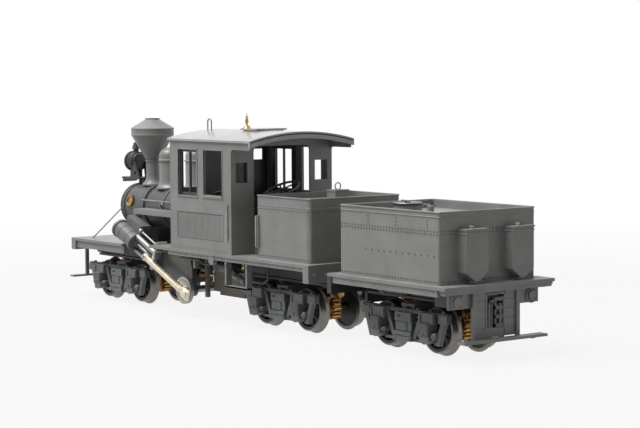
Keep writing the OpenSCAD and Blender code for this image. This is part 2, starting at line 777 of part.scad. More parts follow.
// Bush on the deck that the staff turns in
module staff_bush() {
    difference() {
        on_staff() translate([0, 0, -brake_staff_l - 0.3]) cylinder(d = 2, h = 1.4);
        on_staff() translate([0, 0, -brake_staff_l - seam]) cylinder(d = brake_staff_d + 2 * run_gap, h = 3);
    }
}

module ash_pan() color("darkkhaki") {
    x0 = bearing_x + bearing_t + 0.3;
    x1 = cab_rear_x - 6;
    top = sill_bottom - seam;
    difference() {
        union() {
            centred(x0, x1, 15, 7, top);
            centred(x0 + 1.5, x1 - 1.5, 13, 6, 7 + fit);
        }
        // tunnel for the line shaft
        centred(x0 - 1, x1 + 1, 2.8, 5, line_shaft_z + 1.4);
    }
    both_sides() {
        slab([x0 - 1.2, -9.4, 5.4], [x0 - 0.2, -8.4, main_deck_z - deck_t - seam]);
        slab([x0 - 1.2, -8.4 - fit, 8.4], [x0 + 0.4, -7.4, 9.4]);
    }
}

// ---- Engine ----

module cylinder_block(side) {
    s0 = cylinder_rear_s;
    s1 = s0 + cylinder_l;
    on_slope(side)
        difference() {
            union() {
                rod_x(s0, s1, 0, 0, cylinder_d);
                for (s = [s0, s1 - cover_t]) rod_x(s, s + cover_t, 0, 0, cylinder_d + 0.6);
                rod_x(s1, s1 + 0.4, 0, 0, cylinder_d - 1.4);
                rod_x(s0 - 0.8, s0, 0, 0, 2);
                // steam chest
                translate([s0 + 1, -side * 2.4 - 1.5, 1.2]) cube([cylinder_l - 2, 3.2, 3.2]);
            }
            rod_x(s0 - 1, s1 - 1, 0, 0, 2 * piston_rod_r + 2 * run_gap);
            rod_x(s0 + cover_t, s1 - cover_t, 0, 0, cylinder_d - 1.6);
        }
    // pad that carries the cylinder on the frame
    outer = cylinder_y - cylinder_d / 2 - 0.4;
    inner = sill_y + sill_t + seam;
    x = crank_x - (s0 + cylinder_l / 2) * cos(cylinder_slope);
    slab([x - 3, side == LEFT ? -outer : inner, pilot_deck_z + seam], [x + 3, side == LEFT ? -inner : outer, pilot_deck_z + 4.6]);
}

module cylinders() color("gray") {
    cylinder_block(LEFT);
    cylinder_block(RIGHT);
}

module slide_guides() color("silver") {
    s0 = guide_front_s;
    l = cylinder_rear_s - seam - s0;
    for (side = [LEFT, RIGHT]) on_slope(side) {
        rod_x(s0, s0 + l, 0, guide_off, guide_d);
        translate([s0, -0.6, -guide_off - 0.35]) cube([l, 1.2, 0.7]);
        // yoke that ties the bars together
        difference() {
            translate([s0 - 0.9, -1.2, -guide_off - 0.6]) cube([1, 2.4, 2 * guide_off + 1.6]);
            translate([s0 - 1, -2, -guide_off + 0.5]) cube([1.2, 4, 2 * guide_off - 1.6]);
        }
    }
}

module crosshead(side) {
    s = wrist_s(side);
    low = -guide_off + 0.43;
    high = guide_off - guide_d / 2 - 0.08;
    on_slope(side) {
        difference() {
            translate([s - 1.5, -0.9, low]) cube([3, 1.8, high - low]);
            // relief between the upper shoe and the centre block
            translate([s - 0.9, -1, high - 0.35]) cube([1.8, 2, 0.2]);
        }
        rod_x(s + 1.5 - fit, s + piston_in + fit, 0, 0, 2 * piston_rod_r);
        rod_x(s + piston_in, s + piston_in + piston_t, 0, 0, cylinder_d - 1.6 - 2 * run_gap);
        // wrist pin on the outer side
        translate([s, 0, 0]) rotate([side * -90, 0, 0]) cylinder(r = wrist_pin_r, h = rod_y - cylinder_y + rod_t + 0.1);
    }
}

module crosshead_left() color("khaki") crosshead(LEFT);
module crosshead_right() color("khaki") crosshead(RIGHT);

// The main rod lies outside the crank disc; its big end covers a crank pin that stops short of it
module main_rod(side) {
    s = wrist_s(side);
    big = 2.3;
    small = 1.05;
    arm = 1.5;
    translate([crank_x, side * rod_y, crank_z]) rotate([0, cylinder_slope, 0]) mirror([1, 0, 0])
        translate([s, 0, 0]) rotate([0, -rod_angle(side), 0]) rotate([side * -90, 0, 0])
            difference() {
                union() {
                    cylinder(r = small, h = rod_t);
                    translate([-main_rod_l, 0, 0]) cylinder(r = big / 2 + 0.35, h = rod_t);
                    translate([-main_rod_l - big / 2, -big / 2, 0]) cube([big + 0.6, big, rod_t]);
                    translate([-main_rod_l + 1, -arm / 2, 0]) cube([main_rod_l - 1.6, arm, rod_t]);
                    translate([-main_rod_l, 0, rod_t - fit]) cylinder(r = 0.8, h = 0.35);
                }
                translate([0, 0, -fit]) cylinder(r = wrist_pin_r + run_gap, h = rod_t + 1);
            }
}

module main_rod_left() color("ivory") main_rod(LEFT);
module main_rod_right() color("ivory") main_rod(RIGHT);

module crankshaft() color("silver") {
    rod_y(-crank_disc_y - fit, crank_disc_y + fit, crank_x, crank_z, crankshaft_d);
    for (side = [LEFT, RIGHT]) {
        y0 = side == LEFT ? -crank_disc_y - crank_disc_t : crank_disc_y;
        a = cylinder_slope;
        difference() {
            rod_y(y0, y0 + crank_disc_t, crank_x, crank_z, crank_disc_d);
            translate([crank_x, side * (crank_disc_y + crank_disc_t), crank_z]) rotate([90, 0, 0])
                difference() {
                    cylinder(d = crank_disc_d - 0.9, h = 0.5, center = true);
                    cylinder(d = 3 * crankshaft_d, h = 1, center = true);
                }
        }
    }
    // spur gear that meets the centre shaft's pinion
    rod_y(-1, 1, crank_x, crank_z, 2 * (line_shaft_z - crank_z - worm_d / 2 - 0.06));
}

module crank_plates() color("gray") {
    top = sill_bottom + 4;
    bottom = crank_z - 2.4;
    nose_r = 9.6;
    y1 = crank_plate_y + crank_plate_t;
    both_sides()
        difference() {
            union() {
                side_plate(LEFT, y1, crank_plate_t)
                    intersection() {
                        // all of the plate lies behind and above the main rod
                        translate([crank_x, crank_z]) rotate(-cylinder_slope) translate([-30, -1.3]) square([40, 30]);
                        hull() {
                            translate([crank_x - 19, top - 4]) square([1, 4]);
                            translate([crank_x - 6, top - 1]) square([1, 1]);
                            translate([crank_x + 0.4 - nose_r, crank_z + 3.6]) circle(nose_r, $fn = 64);
                        }
                        translate([crank_x - 20, bottom]) square([24, top - bottom]);
                    }
                rod_y(-y1 - 0.5, -crank_plate_y, crank_x, crank_z, 3.6);
                slab([crank_x - 14, -crank_plate_y - seam, sill_bottom + 0.6], [crank_x - 11, -sill_y - sill_t - seam, sill_bottom + 2.6]);
            }
            rod_y(-y1 - 1, -crank_plate_y + 1, crank_x, crank_z, crankshaft_d + 2 * run_gap);
        }
}

module motor() color("silver") {
    x0 = smokebox_rear_x + 6;
    l = 16;
    rod_x(x0, x0 + l, 0, boiler_z, boiler_d - 2 * boiler_wall - 1.4);
    for (x = [x0 - 1, x0 + l]) rod_x(x, x + 1, 0, boiler_z, 3);
    rod_x(x0 - 7, x0 - 1, 0, boiler_z, 1);
}

module drive_tower() color("goldenrod") {
    x = tower_x;
    difference() {
        union() {
            centred(x - tower_l / 2, x + tower_l / 2, 2 * sill_y - 1, sill_bottom - 5.4, sill_bottom + 4);
            centred(x - 2, x + 2, 5, sill_bottom + 4 - fit, boiler_z - boiler_d / 2 - 0.1);
        }
        rod_x(x - 4, x + 4, 0, line_shaft_z, line_shaft_d + 2 * run_gap);
    }
    // bearing block behind the crankshaft
    b = bearing_x;
    difference() {
        centred(b, b + bearing_t, 5, line_shaft_z - 1.6, sill_bottom + 4);
        rod_x(b - 1, b + 3, 0, line_shaft_z, line_shaft_d + 2 * run_gap);
    }
    both_sides() slab([b, -sill_y + seam, sill_bottom + 2], [b + bearing_t, -2.5 - seam, sill_bottom + 4]);
}

module centre_shaft() color("goldenrod") {
    x0 = front_truck_x + line_shaft_end + joint_gap;
    x1 = middle_truck_x - line_shaft_end - joint_gap;
    collar_x = tower_x + tower_l / 2 + 0.1;
    rod_x(x0, x1, 0, line_shaft_z, line_shaft_d);
    rod_x(crank_x - 2, crank_x + 2, 0, line_shaft_z, worm_d);
    for (x = [x0, x1 - 1.2]) rod_x(x, x + 1.2, 0, line_shaft_z, 2);
    rod_x(collar_x, collar_x + 0.7, 0, line_shaft_z, 2);
}

// ---- Trucks, drawn round X = 0 ----

module arch_bar(x0, z0, x1, z1, w) {
    l = norm([x1 - x0, z1 - z0]);
    translate([x0, z0]) rotate(atan2(z1 - z0, x1 - x0)) translate([0, -w / 2]) square([l, w]);
}

module side_frame_outline() {
    h = side_frame_l / 2;
    a = wheel_base / 2;
    low = axle_z - 2.7;
    // top rail and its raised ends
    translate([-h, rail_top - 0.9]) square([side_frame_l, 0.9]);
    for (s = [-1, 1]) {
        translate([s * (h - 1.4) - 1.4, rail_top - 1.8]) square([2.8, 1.8]);
        arch_bar(s * (h - 1.4), rail_top - 0.6, s * (a + 1.8), low, 1.1);
        arch_bar(s * (a - 3), rail_top - 0.6, s * 3.4, low - 0.2, 1.1);
        translate([s * a - 1.9, axle_z - 1.9]) square([3.8, rail_top - axle_z + 1.4]);
        translate([s * a, axle_z - 1.3]) circle(1.9);
    }
    translate([-3.4, low - 0.4]) square([6.8, rail_top - low]);
    translate([-a - 2, low - 0.2]) square([2 * a + 4, 0.7]);
}

module truck_frame() {
    y = side_frame_y;
    a = wheel_base / 2;
    both_sides()
        difference() {
            union() {
                side_plate(LEFT, y + side_frame_t, side_frame_t) side_frame_outline();
                for (x = [-a, a]) {
                    slab([x - 1.7, -y - side_frame_t - journal_box_out, axle_z - 1.2], [x + 1.7, -y - side_frame_t + fit, axle_z + 2.2]);
                    rod_y(-y - side_frame_t - journal_box_out, -y - side_frame_t + fit, x, axle_z - 1.2, 3.4);
                }
                slab([-2.9, -y - side_frame_t - 1, axle_z - 2.6], [2.9, -y - side_frame_t + fit, rail_top - 1]);
            }
            for (x = [-a, a])
                rod_y(-y - side_frame_t - journal_box_out + 0.8, -y + fit, x, axle_z, journal_d + 2 * run_gap);
        }
    difference() {
        union() {
            centred(-bolster_w / 2, bolster_w / 2, 2 * (y - seam), line_shaft_z - 1.4, truck_bolster_top - 0.5);
            translate([0, 0, line_shaft_z]) cylinder(d = bolster_w, h = truck_bolster_top - line_shaft_z);
            translate([0, 0, truck_bolster_top - fit]) cylinder(d = king_pin_d, h = king_pin_l);
        }
        rod_x(-4, 4, 0, line_shaft_z, line_shaft_d + 2 * run_gap);
    }
}

module gear_outline(r, teeth, depth) {
    polygon([
        for (i = [0 : teeth - 1], k = [[-0.32, -depth], [-0.2, 0], [0.2, 0], [0.32, -depth]])
            let (a = 360 / teeth * (i + k[0])) (r + k[1]) * [cos(a), sin(a)]
    ]);
}

module wheel() {
    r = wheel_d / 2;
    f = flange_h;
    b = back_to_back / 2;
    rotate([90, 0, 0]) translate([0, 0, b])
        rotate_extrude($fn = 96)
            polygon([
                [axle_d / 2 - fit, 0], [r, 0], [r + 0.6 * f, 0.04], [r + f, 0.3], [r + 0.75 * f, 0.6], [r + 0.1, 0.85],
                [r, 1], [r - 0.05, wheel_w - 0.1], [r - 0.15, wheel_w], [r - 0.9, wheel_w], [r - 1, wheel_w - 0.9],
                [1.9, wheel_w - 0.7], [1.8, wheel_w - 0.2], [axle_d / 2 - fit, wheel_w - 0.2]
            ]);
}

module wheelset(x) {
    end = side_frame_y + side_frame_t + journal_box_out - 0.8 - 0.1;
    translate([x, 0, axle_z]) {
        rod_y(-back_to_back / 2 - wheel_w, back_to_back / 2 + wheel_w, 0, 0, axle_d);
        rod_y(-end, end, 0, 0, journal_d);
        both_sides() wheel();
        rotate([90, 0, 0]) linear_extrude(gear_w, center = true) gear_outline(gear_d / 2, gear_teeth, 0.45);
    }
}

module gear_case() {
    a = wheel_base / 2;
    cheek = 0.8;
    y0 = gear_w / 2 + slide_gap;
    for (x = [-a, a]) {
        difference() {
            both_sides() slab([x - 1.5, -y0 - cheek, axle_z - 2], [x + 1.5, -y0, line_shaft_z + 0.9]);
            rod_y(-5, 5, x, axle_z, axle_d + 2 * run_gap);
        }
        for (s = [-1, 1])
            difference() {
                centred(x + s * 2.1 - 0.6, x + s * 2.1 + 0.6, 2 * (y0 + cheek), line_shaft_z - 0.9, line_shaft_z + 0.9);
                rod_x(x - 4, x + 4, 0, line_shaft_z, line_shaft_d + 2 * run_gap);
            }
    }
    // keeper bar under the axles
    both_sides() slab([-a - 1.5, -y0 - cheek, axle_z - 2.6], [a + 1.5, -y0, axle_z - 2]);
}

module line_shaft() {
    a = wheel_base / 2;
    end = line_shaft_end;
    rod_x(-end, end, 0, line_shaft_z, line_shaft_d);
    for (x = [-a, a]) rod_x(x - 1.3, x + 1.3, 0, line_shaft_z, worm_d);
    for (x = [-end, end - 1.1]) rod_x(x, x + 1.1, 0, line_shaft_z, 2);
}

module at_truck(x) {
    translate([x, 0, 0]) children();
}

// ---- Tender ----

module tender_deck() color("gray") {
    z = tender_deck_z;
    centred(tender_front_x, tender_rear_x, deck_w, z - deck_t, z);
    both_sides()
        slab([tender_front_x + beam_t - 0.7 + seam, deck_lip - deck_w / 2, z - tender_edge_h], [tender_rear_x - tender_beam_in, 1 - deck_w / 2, z - deck_t]);
    centred(tender_rear_x - 1.9, tender_rear_x - 0.5, deck_w - 1, z - tender_edge_h + 0.4, z - deck_t);
}

module tender_beams() color("dimgray") {
    top = tender_beam_top;
    rear = tender_rear_x - tender_beam_in;
    // front beam, sills and rear beam
    centred(tender_front_x, tender_front_x + beam_t - 0.7, deck_w, top - tender_beam_h, top);
    both_sides() slab([tender_front_x + beam_t - 0.7, -sill_y - sill_t, sill_bottom], [rear - 4, -sill_y, top]);
    centred(rear - 4, rear, tender_beam_w, top - tender_beam_h, top);
    difference() {
        centred(rear_truck_x - bolster_w / 2, rear_truck_x + bolster_w / 2, 2 * sill_y, body_bolster_z, top);
        king_bore(rear_truck_x, body_bolster_z, top);
    }
    // drawbar with its eye round the main frame's pin
    difference() {
        union() {
            centred(drawbar_x, tender_front_x + fit, 2, drawbar_z - 0.5, drawbar_z + 0.4);
            translate([drawbar_x, 0, drawbar_z - 0.5]) cylinder(d = 2.6, h = 0.9);
        }
        translate([drawbar_x, 0, drawbar_z - 2]) cylinder(d = 1.2 + 2 * run_gap, h = 4);
    }
}

module tender_tank() color("gray") {
    x0 = tank_x;
    z = tender_deck_z + seam;
    z1 = tender_deck_z + tank_h;
    wall = 0.5;
    difference() {
        translate([x0, -tank_w / 2, z]) linear_extrude(z1 - z) rounded_rect(tank_l, tank_w, 0.5);
        centred(x0 + wall, x0 + tank_l - wall, tank_w - 2 * wall, z + 1, z1 - 2.4);
        centred(x0 + wall, x0 + tank_l - wall, tank_w - 2 * wall, z1 - 1.8, z1 + fit);
    }
    // filler ring and rear deck fittings
    translate([filler_x, filler_y, z1 - 1.8 - fit]) difference() {
        cylinder(d = filler_d, h = 1.8);
        translate([0, 0, 0.5]) cylinder(d = filler_d - 0.8, h = 2);
    }
    translate([filler_x + 7.6, -2.2, z1 - 1.8 - fit]) cylinder(d = 1.6, h = 2);
}

module tank_hatch() color("gray") {
    z = tender_deck_z + tank_h + 0.05;
    translate([filler_x, filler_y, z]) {
        cylinder(d = filler_d + 0.3, h = 0.5);
        translate([0, 0, 0.5 - fit]) cylinder(d = 1.2, h = 0.4);
    }
    slab([filler_x - filler_d / 2 - 0.6, filler_y - 0.6, z], [filler_x - filler_d / 2 + 0.3, filler_y + 0.6, z + 0.5]);
}

// An open-topped box with a hopper bottom and a spout
module feed_box(side) {
    w = feed_box_w / 2;
    d = feed_box_d;
    translate([feed_x, feed_y(side), feed_z]) {
        difference() {
            slab([0, -w, 2 - feed_box_h], [d, w, 0]);
            slab([0.4, 0.4 - w, 2.4 - feed_box_h], [d - 0.4, w - 0.4, fit]);
        }
        translate([0, 0, 2 - feed_box_h]) rotate([90, 0, 90]) linear_extrude(d)
            polygon([[-w, 0], [-0.6, -2], [0.6, -2], [w, 0]]);
        translate([d / 2, 0, -feed_box_h - 0.5]) cylinder(d = 1.2, h = 0.7);
    }
}

module feed_boxes() color("gray") {
    feed_box(LEFT);
    feed_box(RIGHT);
}

module feed_lid(side) {
    w = feed_box_w / 2;
    translate([feed_x + feed_hinge, feed_y(side), feed_z + 0.05]) {
        slab([0, -w - 0.15, 0], [feed_box_d - feed_hinge + 0.2, w + 0.15, 0.4]);
        translate([1.25, -w * 0.3, 0.4 - fit]) cylinder(d = 0.8, h = 0.7);
    }
}

module feed_lid_left() color("gray") feed_lid(LEFT);
module feed_lid_right() color("gray") feed_lid(RIGHT);

module coupler_board() color("gray") {
    x0 = tender_rear_x - tender_beam_in + seam;
    z0 = footboard_z + footboard_t + seam;
    z1 = coupler_board_top;
    w = 12.8;
    slot = 2.5;
    difference() {
        centred(x0, x0 + coupler_board_t, w, z0, z1);
        centred(x0 - 1, x0 + 2, 2 * slot, z0 + 2, z1 - 0.8);
    }
    // coupler pocket with three link slots
    pocket_top = tender_beam_top - tender_beam_h - seam;
    for (y = [-slot + 0.5, slot - 1.1]) slab([x0 - 0.6, y, z0 + 1], [x0 + coupler_board_t, y + 0.6, pocket_top]);
    for (z = [z0 + 2, z0 + 4.2, z0 + 6.4]) slab([x0 - 0.2, -slot - fit, z], [x0 + 0.4, slot + fit, z + 0.7]);
    // poling pockets
    both_sides() {
        slab([x0, -tender_beam_w / 2, z1 - 3.4], [x0 + 0.5, -w / 2 - 0.2, z1 - 0.2]);
        rod_x(x0 + 0.5 - fit, x0 + 1.1, -tender_beam_w / 2 + 2.2, z1 - 1.8, 2.2);
    }
}

module rear_footboard() color("gray") {
    x0 = tender_rear_x - tender_beam_in + coupler_board_t + 2 * seam;
    footboard(tender_rear_x + footboard_out - 2.4, tender_rear_x + footboard_out, footboard_z, footboard_z + footboard_t,
        tender_rear_x + footboard_out - 2.4, hanger_y);
    both_sides() {
        slab([x0, -hanger_y - 0.5, footboard_z], [x0 + hanger_t, -hanger_y + 0.5, coupler_board_top]);
        slab([x0, -hanger_y - 0.5, footboard_z], [tender_rear_x + footboard_out - 2.3, -hanger_y + 0.5, footboard_z + footboard_t]);
    }
}

main_deck();
main_sills();
pilot_deck();
end_beams();
front_footboard();
cab_steps();
boiler();
smokebox();
smokestack();
domes();
headlight();
running_boards();
handrails();
builders_plates();
cab_walls();
cab_roof();
window_sashes();
armrests();
backhead();
whistle();
roof_loop();
bunker();
ash_pan();
cylinders();
slide_guides();
crank_plates();
motor();
drive_tower();
centre_shaft();
bunker_hatch();
brake_wheel();
crankshaft();
crosshead_left();
crosshead_right();
main_rod_left();
main_rod_right();
color("gray") at_truck(front_truck_x) truck_frame();  // front_truck_frame
color("peru") at_truck(front_truck_x) gear_case();  // front_gear_case
color("goldenrod") at_truck(front_truck_x) line_shaft();  // front_line_shaft
color("silver") at_truck(front_truck_x) wheelset(-wheel_base / 2);  // front_wheelset_a
color("silver") at_truck(front_truck_x) wheelset(wheel_base / 2);  // front_wheelset_b
color("gray") at_truck(middle_truck_x) truck_frame();  // middle_truck_frame
color("peru") at_truck(middle_truck_x) gear_case();  // middle_gear_case
color("goldenrod") at_truck(middle_truck_x) line_shaft();  // middle_line_shaft
color("silver") at_truck(middle_truck_x) wheelset(-wheel_base / 2);  // middle_wheelset_a
color("silver") at_truck(middle_truck_x) wheelset(wheel_base / 2);  // middle_wheelset_b
color("gray") at_truck(rear_truck_x) truck_frame();  // rear_truck_frame
color("peru") at_truck(rear_truck_x) gear_case();  // rear_gear_case
color("goldenrod") at_truck(rear_truck_x) line_shaft();  // rear_line_shaft
color("silver") at_truck(rear_truck_x) wheelset(-wheel_base / 2);  // rear_wheelset_a
color("silver") at_truck(rear_truck_x) wheelset(wheel_base / 2);  // rear_wheelset_b
tender_deck();
tender_beams();
tender_tank();
tank_hatch();
feed_boxes();
feed_lid_left();
feed_lid_right();
coupler_board();
rear_footboard();
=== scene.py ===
"""Looks of a three-truck geared steam locomotive model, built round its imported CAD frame.

Lengths are in millimetres until a piece is finished, and the frame's axes are the CAD's: +X to the
tender end, -Y the locomotive's left side, +Z up.
"""
import json
import math

import bmesh
import bpy
from mathutils import Matrix, Vector


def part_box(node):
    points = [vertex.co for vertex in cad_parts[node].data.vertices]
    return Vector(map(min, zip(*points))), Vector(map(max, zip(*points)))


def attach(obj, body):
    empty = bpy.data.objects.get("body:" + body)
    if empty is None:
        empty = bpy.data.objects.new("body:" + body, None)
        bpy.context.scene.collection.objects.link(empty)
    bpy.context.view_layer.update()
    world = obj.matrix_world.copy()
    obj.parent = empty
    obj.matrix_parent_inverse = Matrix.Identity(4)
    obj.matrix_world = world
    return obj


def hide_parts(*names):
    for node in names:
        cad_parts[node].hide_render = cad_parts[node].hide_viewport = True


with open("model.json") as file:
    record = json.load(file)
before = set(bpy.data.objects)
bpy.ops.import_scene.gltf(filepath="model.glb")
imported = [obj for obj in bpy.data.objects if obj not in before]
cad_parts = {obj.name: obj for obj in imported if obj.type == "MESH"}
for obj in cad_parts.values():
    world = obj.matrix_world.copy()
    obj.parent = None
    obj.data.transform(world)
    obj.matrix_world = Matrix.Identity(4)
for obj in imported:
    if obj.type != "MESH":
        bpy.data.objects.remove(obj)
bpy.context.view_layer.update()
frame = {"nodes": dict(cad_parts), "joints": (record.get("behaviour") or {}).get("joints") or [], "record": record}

MM = 0.001
LEFT, RIGHT = -1, 1
SIDES = (LEFT, RIGHT)
TRUCKS = ("front", "middle", "rear")
AXLES = "ab"

DUST = (0.42, 0.41, 0.39, 1)


# ---- Places read from the frame ----

def span(node):
    """Lowest and highest corner of a CAD node, in millimetres."""
    low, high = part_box(node)
    return low / MM, high / MM


def joint(name):
    """Position of a joint, in millimetres."""
    found = next(j for j in frame["joints"] if j["name"] == name)
    return Vector(found["pos_m"]) / MM


# ---- Materials ----

class Tree:
    """Short calls for building a node tree."""

    def __init__(self, tree):
        self.tree = tree

    def add(self, kind, **settings):
        node = self.tree.nodes.new(kind)
        for key, value in settings.items():
            setattr(node, key, value)
        return node

    def link(self, output, socket):
        self.tree.links.new(output, socket)

    def plug(self, value, socket):
        """Links an output, or sets a number or a colour."""
        if isinstance(value, bpy.types.NodeSocket):
            self.link(value, socket)
        else:
            socket.default_value = value

    def spread(self, value, low, high, to_low=0.0, to_high=1.0):
        node = self.add("ShaderNodeMapRange")
        for key, number in zip(("From Min", "From Max", "To Min", "To Max"), (low, high, to_low, to_high)):
            node.inputs[key].default_value = number
        self.link(value, node.inputs["Value"])
        return node.outputs["Result"]

    def math(self, operation, a, b):
        node = self.add("ShaderNodeMath", operation=operation)
        self.plug(a, node.inputs[0])
        self.plug(b, node.inputs[1])
        return node.outputs[0]

    def seen_directly(self):
        """1 for rays of the camera, of mirrors and of glass."""
        rays = self.add("ShaderNodeLightPath").outputs
        seen = self.math("MAXIMUM", rays["Is Camera Ray"], rays["Is Glossy Ray"])
        return self.math("MAXIMUM", seen, rays["Is Transmission Ray"])


class Nodes(Tree):
    """Short calls for building one material's node tree."""

    def __init__(self, name):
        self.material = bpy.data.materials.new(name)
        self.material.use_nodes = True
        super().__init__(self.material.node_tree)
        self.bsdf = self.tree.nodes["Principled BSDF"]
        self.coordinates = self.add("ShaderNodeTexCoord").outputs["Object"]

    def set(self, **values):
        for key, value in values.items():
            self.bsdf.inputs[key.replace("_", " ")].default_value = value

    def noise(self, size, detail=3.0, stretch=(1, 1, 1)):
        """Noise whose features are about size millimetres across."""
        mapping = self.add("ShaderNodeMapping")
        mapping.inputs["Scale"].default_value = stretch
        self.link(self.coordinates, mapping.inputs["Vector"])
        noise = self.add("ShaderNodeTexNoise")
        noise.inputs["Scale"].default_value = 1 / (size * MM)
        noise.inputs["Detail"].default_value = detail
        self.link(mapping.outputs["Vector"], noise.inputs["Vector"])
        return noise.outputs["Fac"]

    def mix(self, factor, a, b):
        node = self.add("ShaderNodeMix", data_type="RGBA")
        for value, socket in ((factor, node.inputs[0]), (a, node.inputs[6]), (b, node.inputs[7])):
            self.plug(value, socket)
        return node.outputs[2]

    def edges(self, radius):
        """1 on a sharp edge and 0 away from it, within radius millimetres."""
        bevel = self.add("ShaderNodeBevel", samples=4)
        bevel.inputs["Radius"].default_value = radius * MM
        geometry = self.add("ShaderNodeNewGeometry")
        dot = self.add("ShaderNodeVectorMath", operation="DOT_PRODUCT")
        self.link(bevel.outputs["Normal"], dot.inputs[0])
        self.link(geometry.outputs["Normal"], dot.inputs[1])
        return self.spread(dot.outputs["Value"], 0.99, 0.8)

    def facing_up(self):
        geometry = self.add("ShaderNodeNewGeometry")
        parts = self.add("ShaderNodeSeparateXYZ")
        self.link(geometry.outputs["Normal"], parts.inputs[0])
        return self.spread(parts.outputs["Z"], 0.3, 0.95)

    def bump(self, height, depth, strength=0.6):
        node = self.add("ShaderNodeBump")
        node.inputs["Strength"].default_value = strength
        node.inputs["Distance"].default_value = depth * MM
        self.link(height, node.inputs["Height"])
        self.link(node.outputs["Normal"], self.bsdf.inputs["Normal"])


def rgba(colour, factor=1.0):
    return (*(min(1.0, c * factor) for c in colour), 1.0)


def paint(name, colour, roughness, edge_wear_and_highlight=0.35, dust=0.25, grain=0.012):
    """Sprayed satin paint: soft mottling, pale edges that are partly rubbed wear and partly a painted highlight, a
    little dust on top faces and a fine grain.
    """
    n = Nodes(name)
    mottled = n.mix(n.spread(n.noise(6), 0.3, 0.7), rgba(colour, 0.9), rgba(colour, 1.1))
    specks = n.spread(n.noise(0.5, 2), 0.62, 0.75, 0, 0.3)
    specked = n.mix(specks, mottled, rgba(colour, 1.35))
    settled = n.math("MULTIPLY", n.facing_up(), n.spread(n.noise(3), 0.35, 0.7, 0, dust))
    dusted = n.mix(settled, specked, DUST)
    # pale edges: partly rubbed wear, partly a painted highlight laid along every sharp edge
    worn_and_highlit = n.mix(n.math("MULTIPLY", n.edges(0.12), edge_wear_and_highlight), dusted, rgba(colour, 2.2))
    n.link(worn_and_highlit, n.bsdf.inputs["Base Color"])
    n.link(n.spread(n.noise(1.4), 0.3, 0.7, roughness - 0.06, roughness + 0.08), n.bsdf.inputs["Roughness"])
    n.bump(n.noise(0.14, 2), grain)
    return n.material


def metal(name, colour, roughness, tarnish, tarnish_amount=0.5, stretch=(1, 1, 1)):
    """Bare metal with fine brushing, patches of tarnish and a painted highlight along its sharp edges."""
    n = Nodes(name)
    stained = n.mix(n.spread(n.noise(1.6), 0.42, 0.66, 0, tarnish_amount), rgba(colour), rgba(tarnish))
    # painted highlight: sharp edges lightened in the base colour
    edge_highlight = n.mix(n.math("MULTIPLY", n.edges(0.1), 0.5), stained, rgba(colour, 1.35))
    n.link(edge_highlight, n.bsdf.inputs["Base Color"])
    n.set(Metallic=1.0)
    brushed = n.spread(n.noise(0.5, 3, stretch), 0.3, 0.7, roughness - 0.06, roughness + 0.1)
    n.link(brushed, n.bsdf.inputs["Roughness"])
    n.bump(n.noise(0.12, 2, stretch), 0.006)
    return n.material


def clear_lens():
    n = Nodes("lens_glass")
    tint = n.mix(n.noise(2), (0.82, 0.86, 0.86, 1), (0.9, 0.92, 0.92, 1))
    n.link(tint, n.bsdf.inputs["Base Color"])
    n.set(Roughness=0.04, IOR=1.45, Transmission_Weight=0.85)
    return n.material


GREY = paint("engine_grey", (0.215, 0.215, 0.208), 0.38)
ROOF = paint("roof_grey", (0.36, 0.36, 0.35), 0.2, edge_wear_and_highlight=0.2, dust=0, grain=0.002)
BOILER = paint("boiler_grey", (0.075, 0.077, 0.077), 0.36, dust=0.1)
CYLINDER = paint("cylinder_grey", (0.13, 0.133, 0.133), 0.33, dust=0.1)
# painted shade: rivets and bolt heads darker than the grey they are really painted in, so they read as dots
RIVET_SHADE = paint("rivet_painted_shade", (0.1, 0.1, 0.098), 0.4, edge_wear_and_highlight=0.6, dust=0)
LID = paint("lid_grey", (0.095, 0.09, 0.083), 0.5)
GREY_TRUCK = paint("truck_grey", (0.13, 0.137, 0.14), 0.4, edge_wear_and_highlight=0.9, dust=0.3)
DARK = paint("shadow_black", (0.028, 0.03, 0.032), 0.42, edge_wear_and_highlight=0.5, dust=0.2)
ASH = paint("ash_pan_grey", (0.2, 0.18, 0.155), 0.6, edge_wear_and_highlight=0.2)
BRASS = metal("turned_brass", (0.5, 0.31, 0.115), 0.34, (0.13, 0.075, 0.03), 0.8)
COPPER = metal("copper_bearing", (0.5, 0.25, 0.14), 0.36, (0.2, 0.09, 0.05))
OLD_BRASS = metal("gear_case_brass", (0.3, 0.2, 0.12), 0.42, (0.07, 0.05, 0.04), 0.8)
NICKEL = metal("satin_nickel", (0.33, 0.325, 0.31), 0.45, (0.2, 0.19, 0.17), 0.4)
ROD = metal("rod_steel", (0.74, 0.66, 0.54), 0.5, (0.5, 0.42, 0.31), 0.35)
TYRE = metal("polished_tyre", (0.2, 0.186, 0.168), 0.36, (0.1, 0.09, 0.08), 0.35)
GLASS = clear_lens()


# ---- Mesh building ----

SUNK = 0.03  # how far a rivet or a washer reaches into the surface


def turns(count, shift=0.0):
    """Evenly spaced angles of one full turn."""
    return [2 * math.pi * (i + shift) / count for i in range(count)]


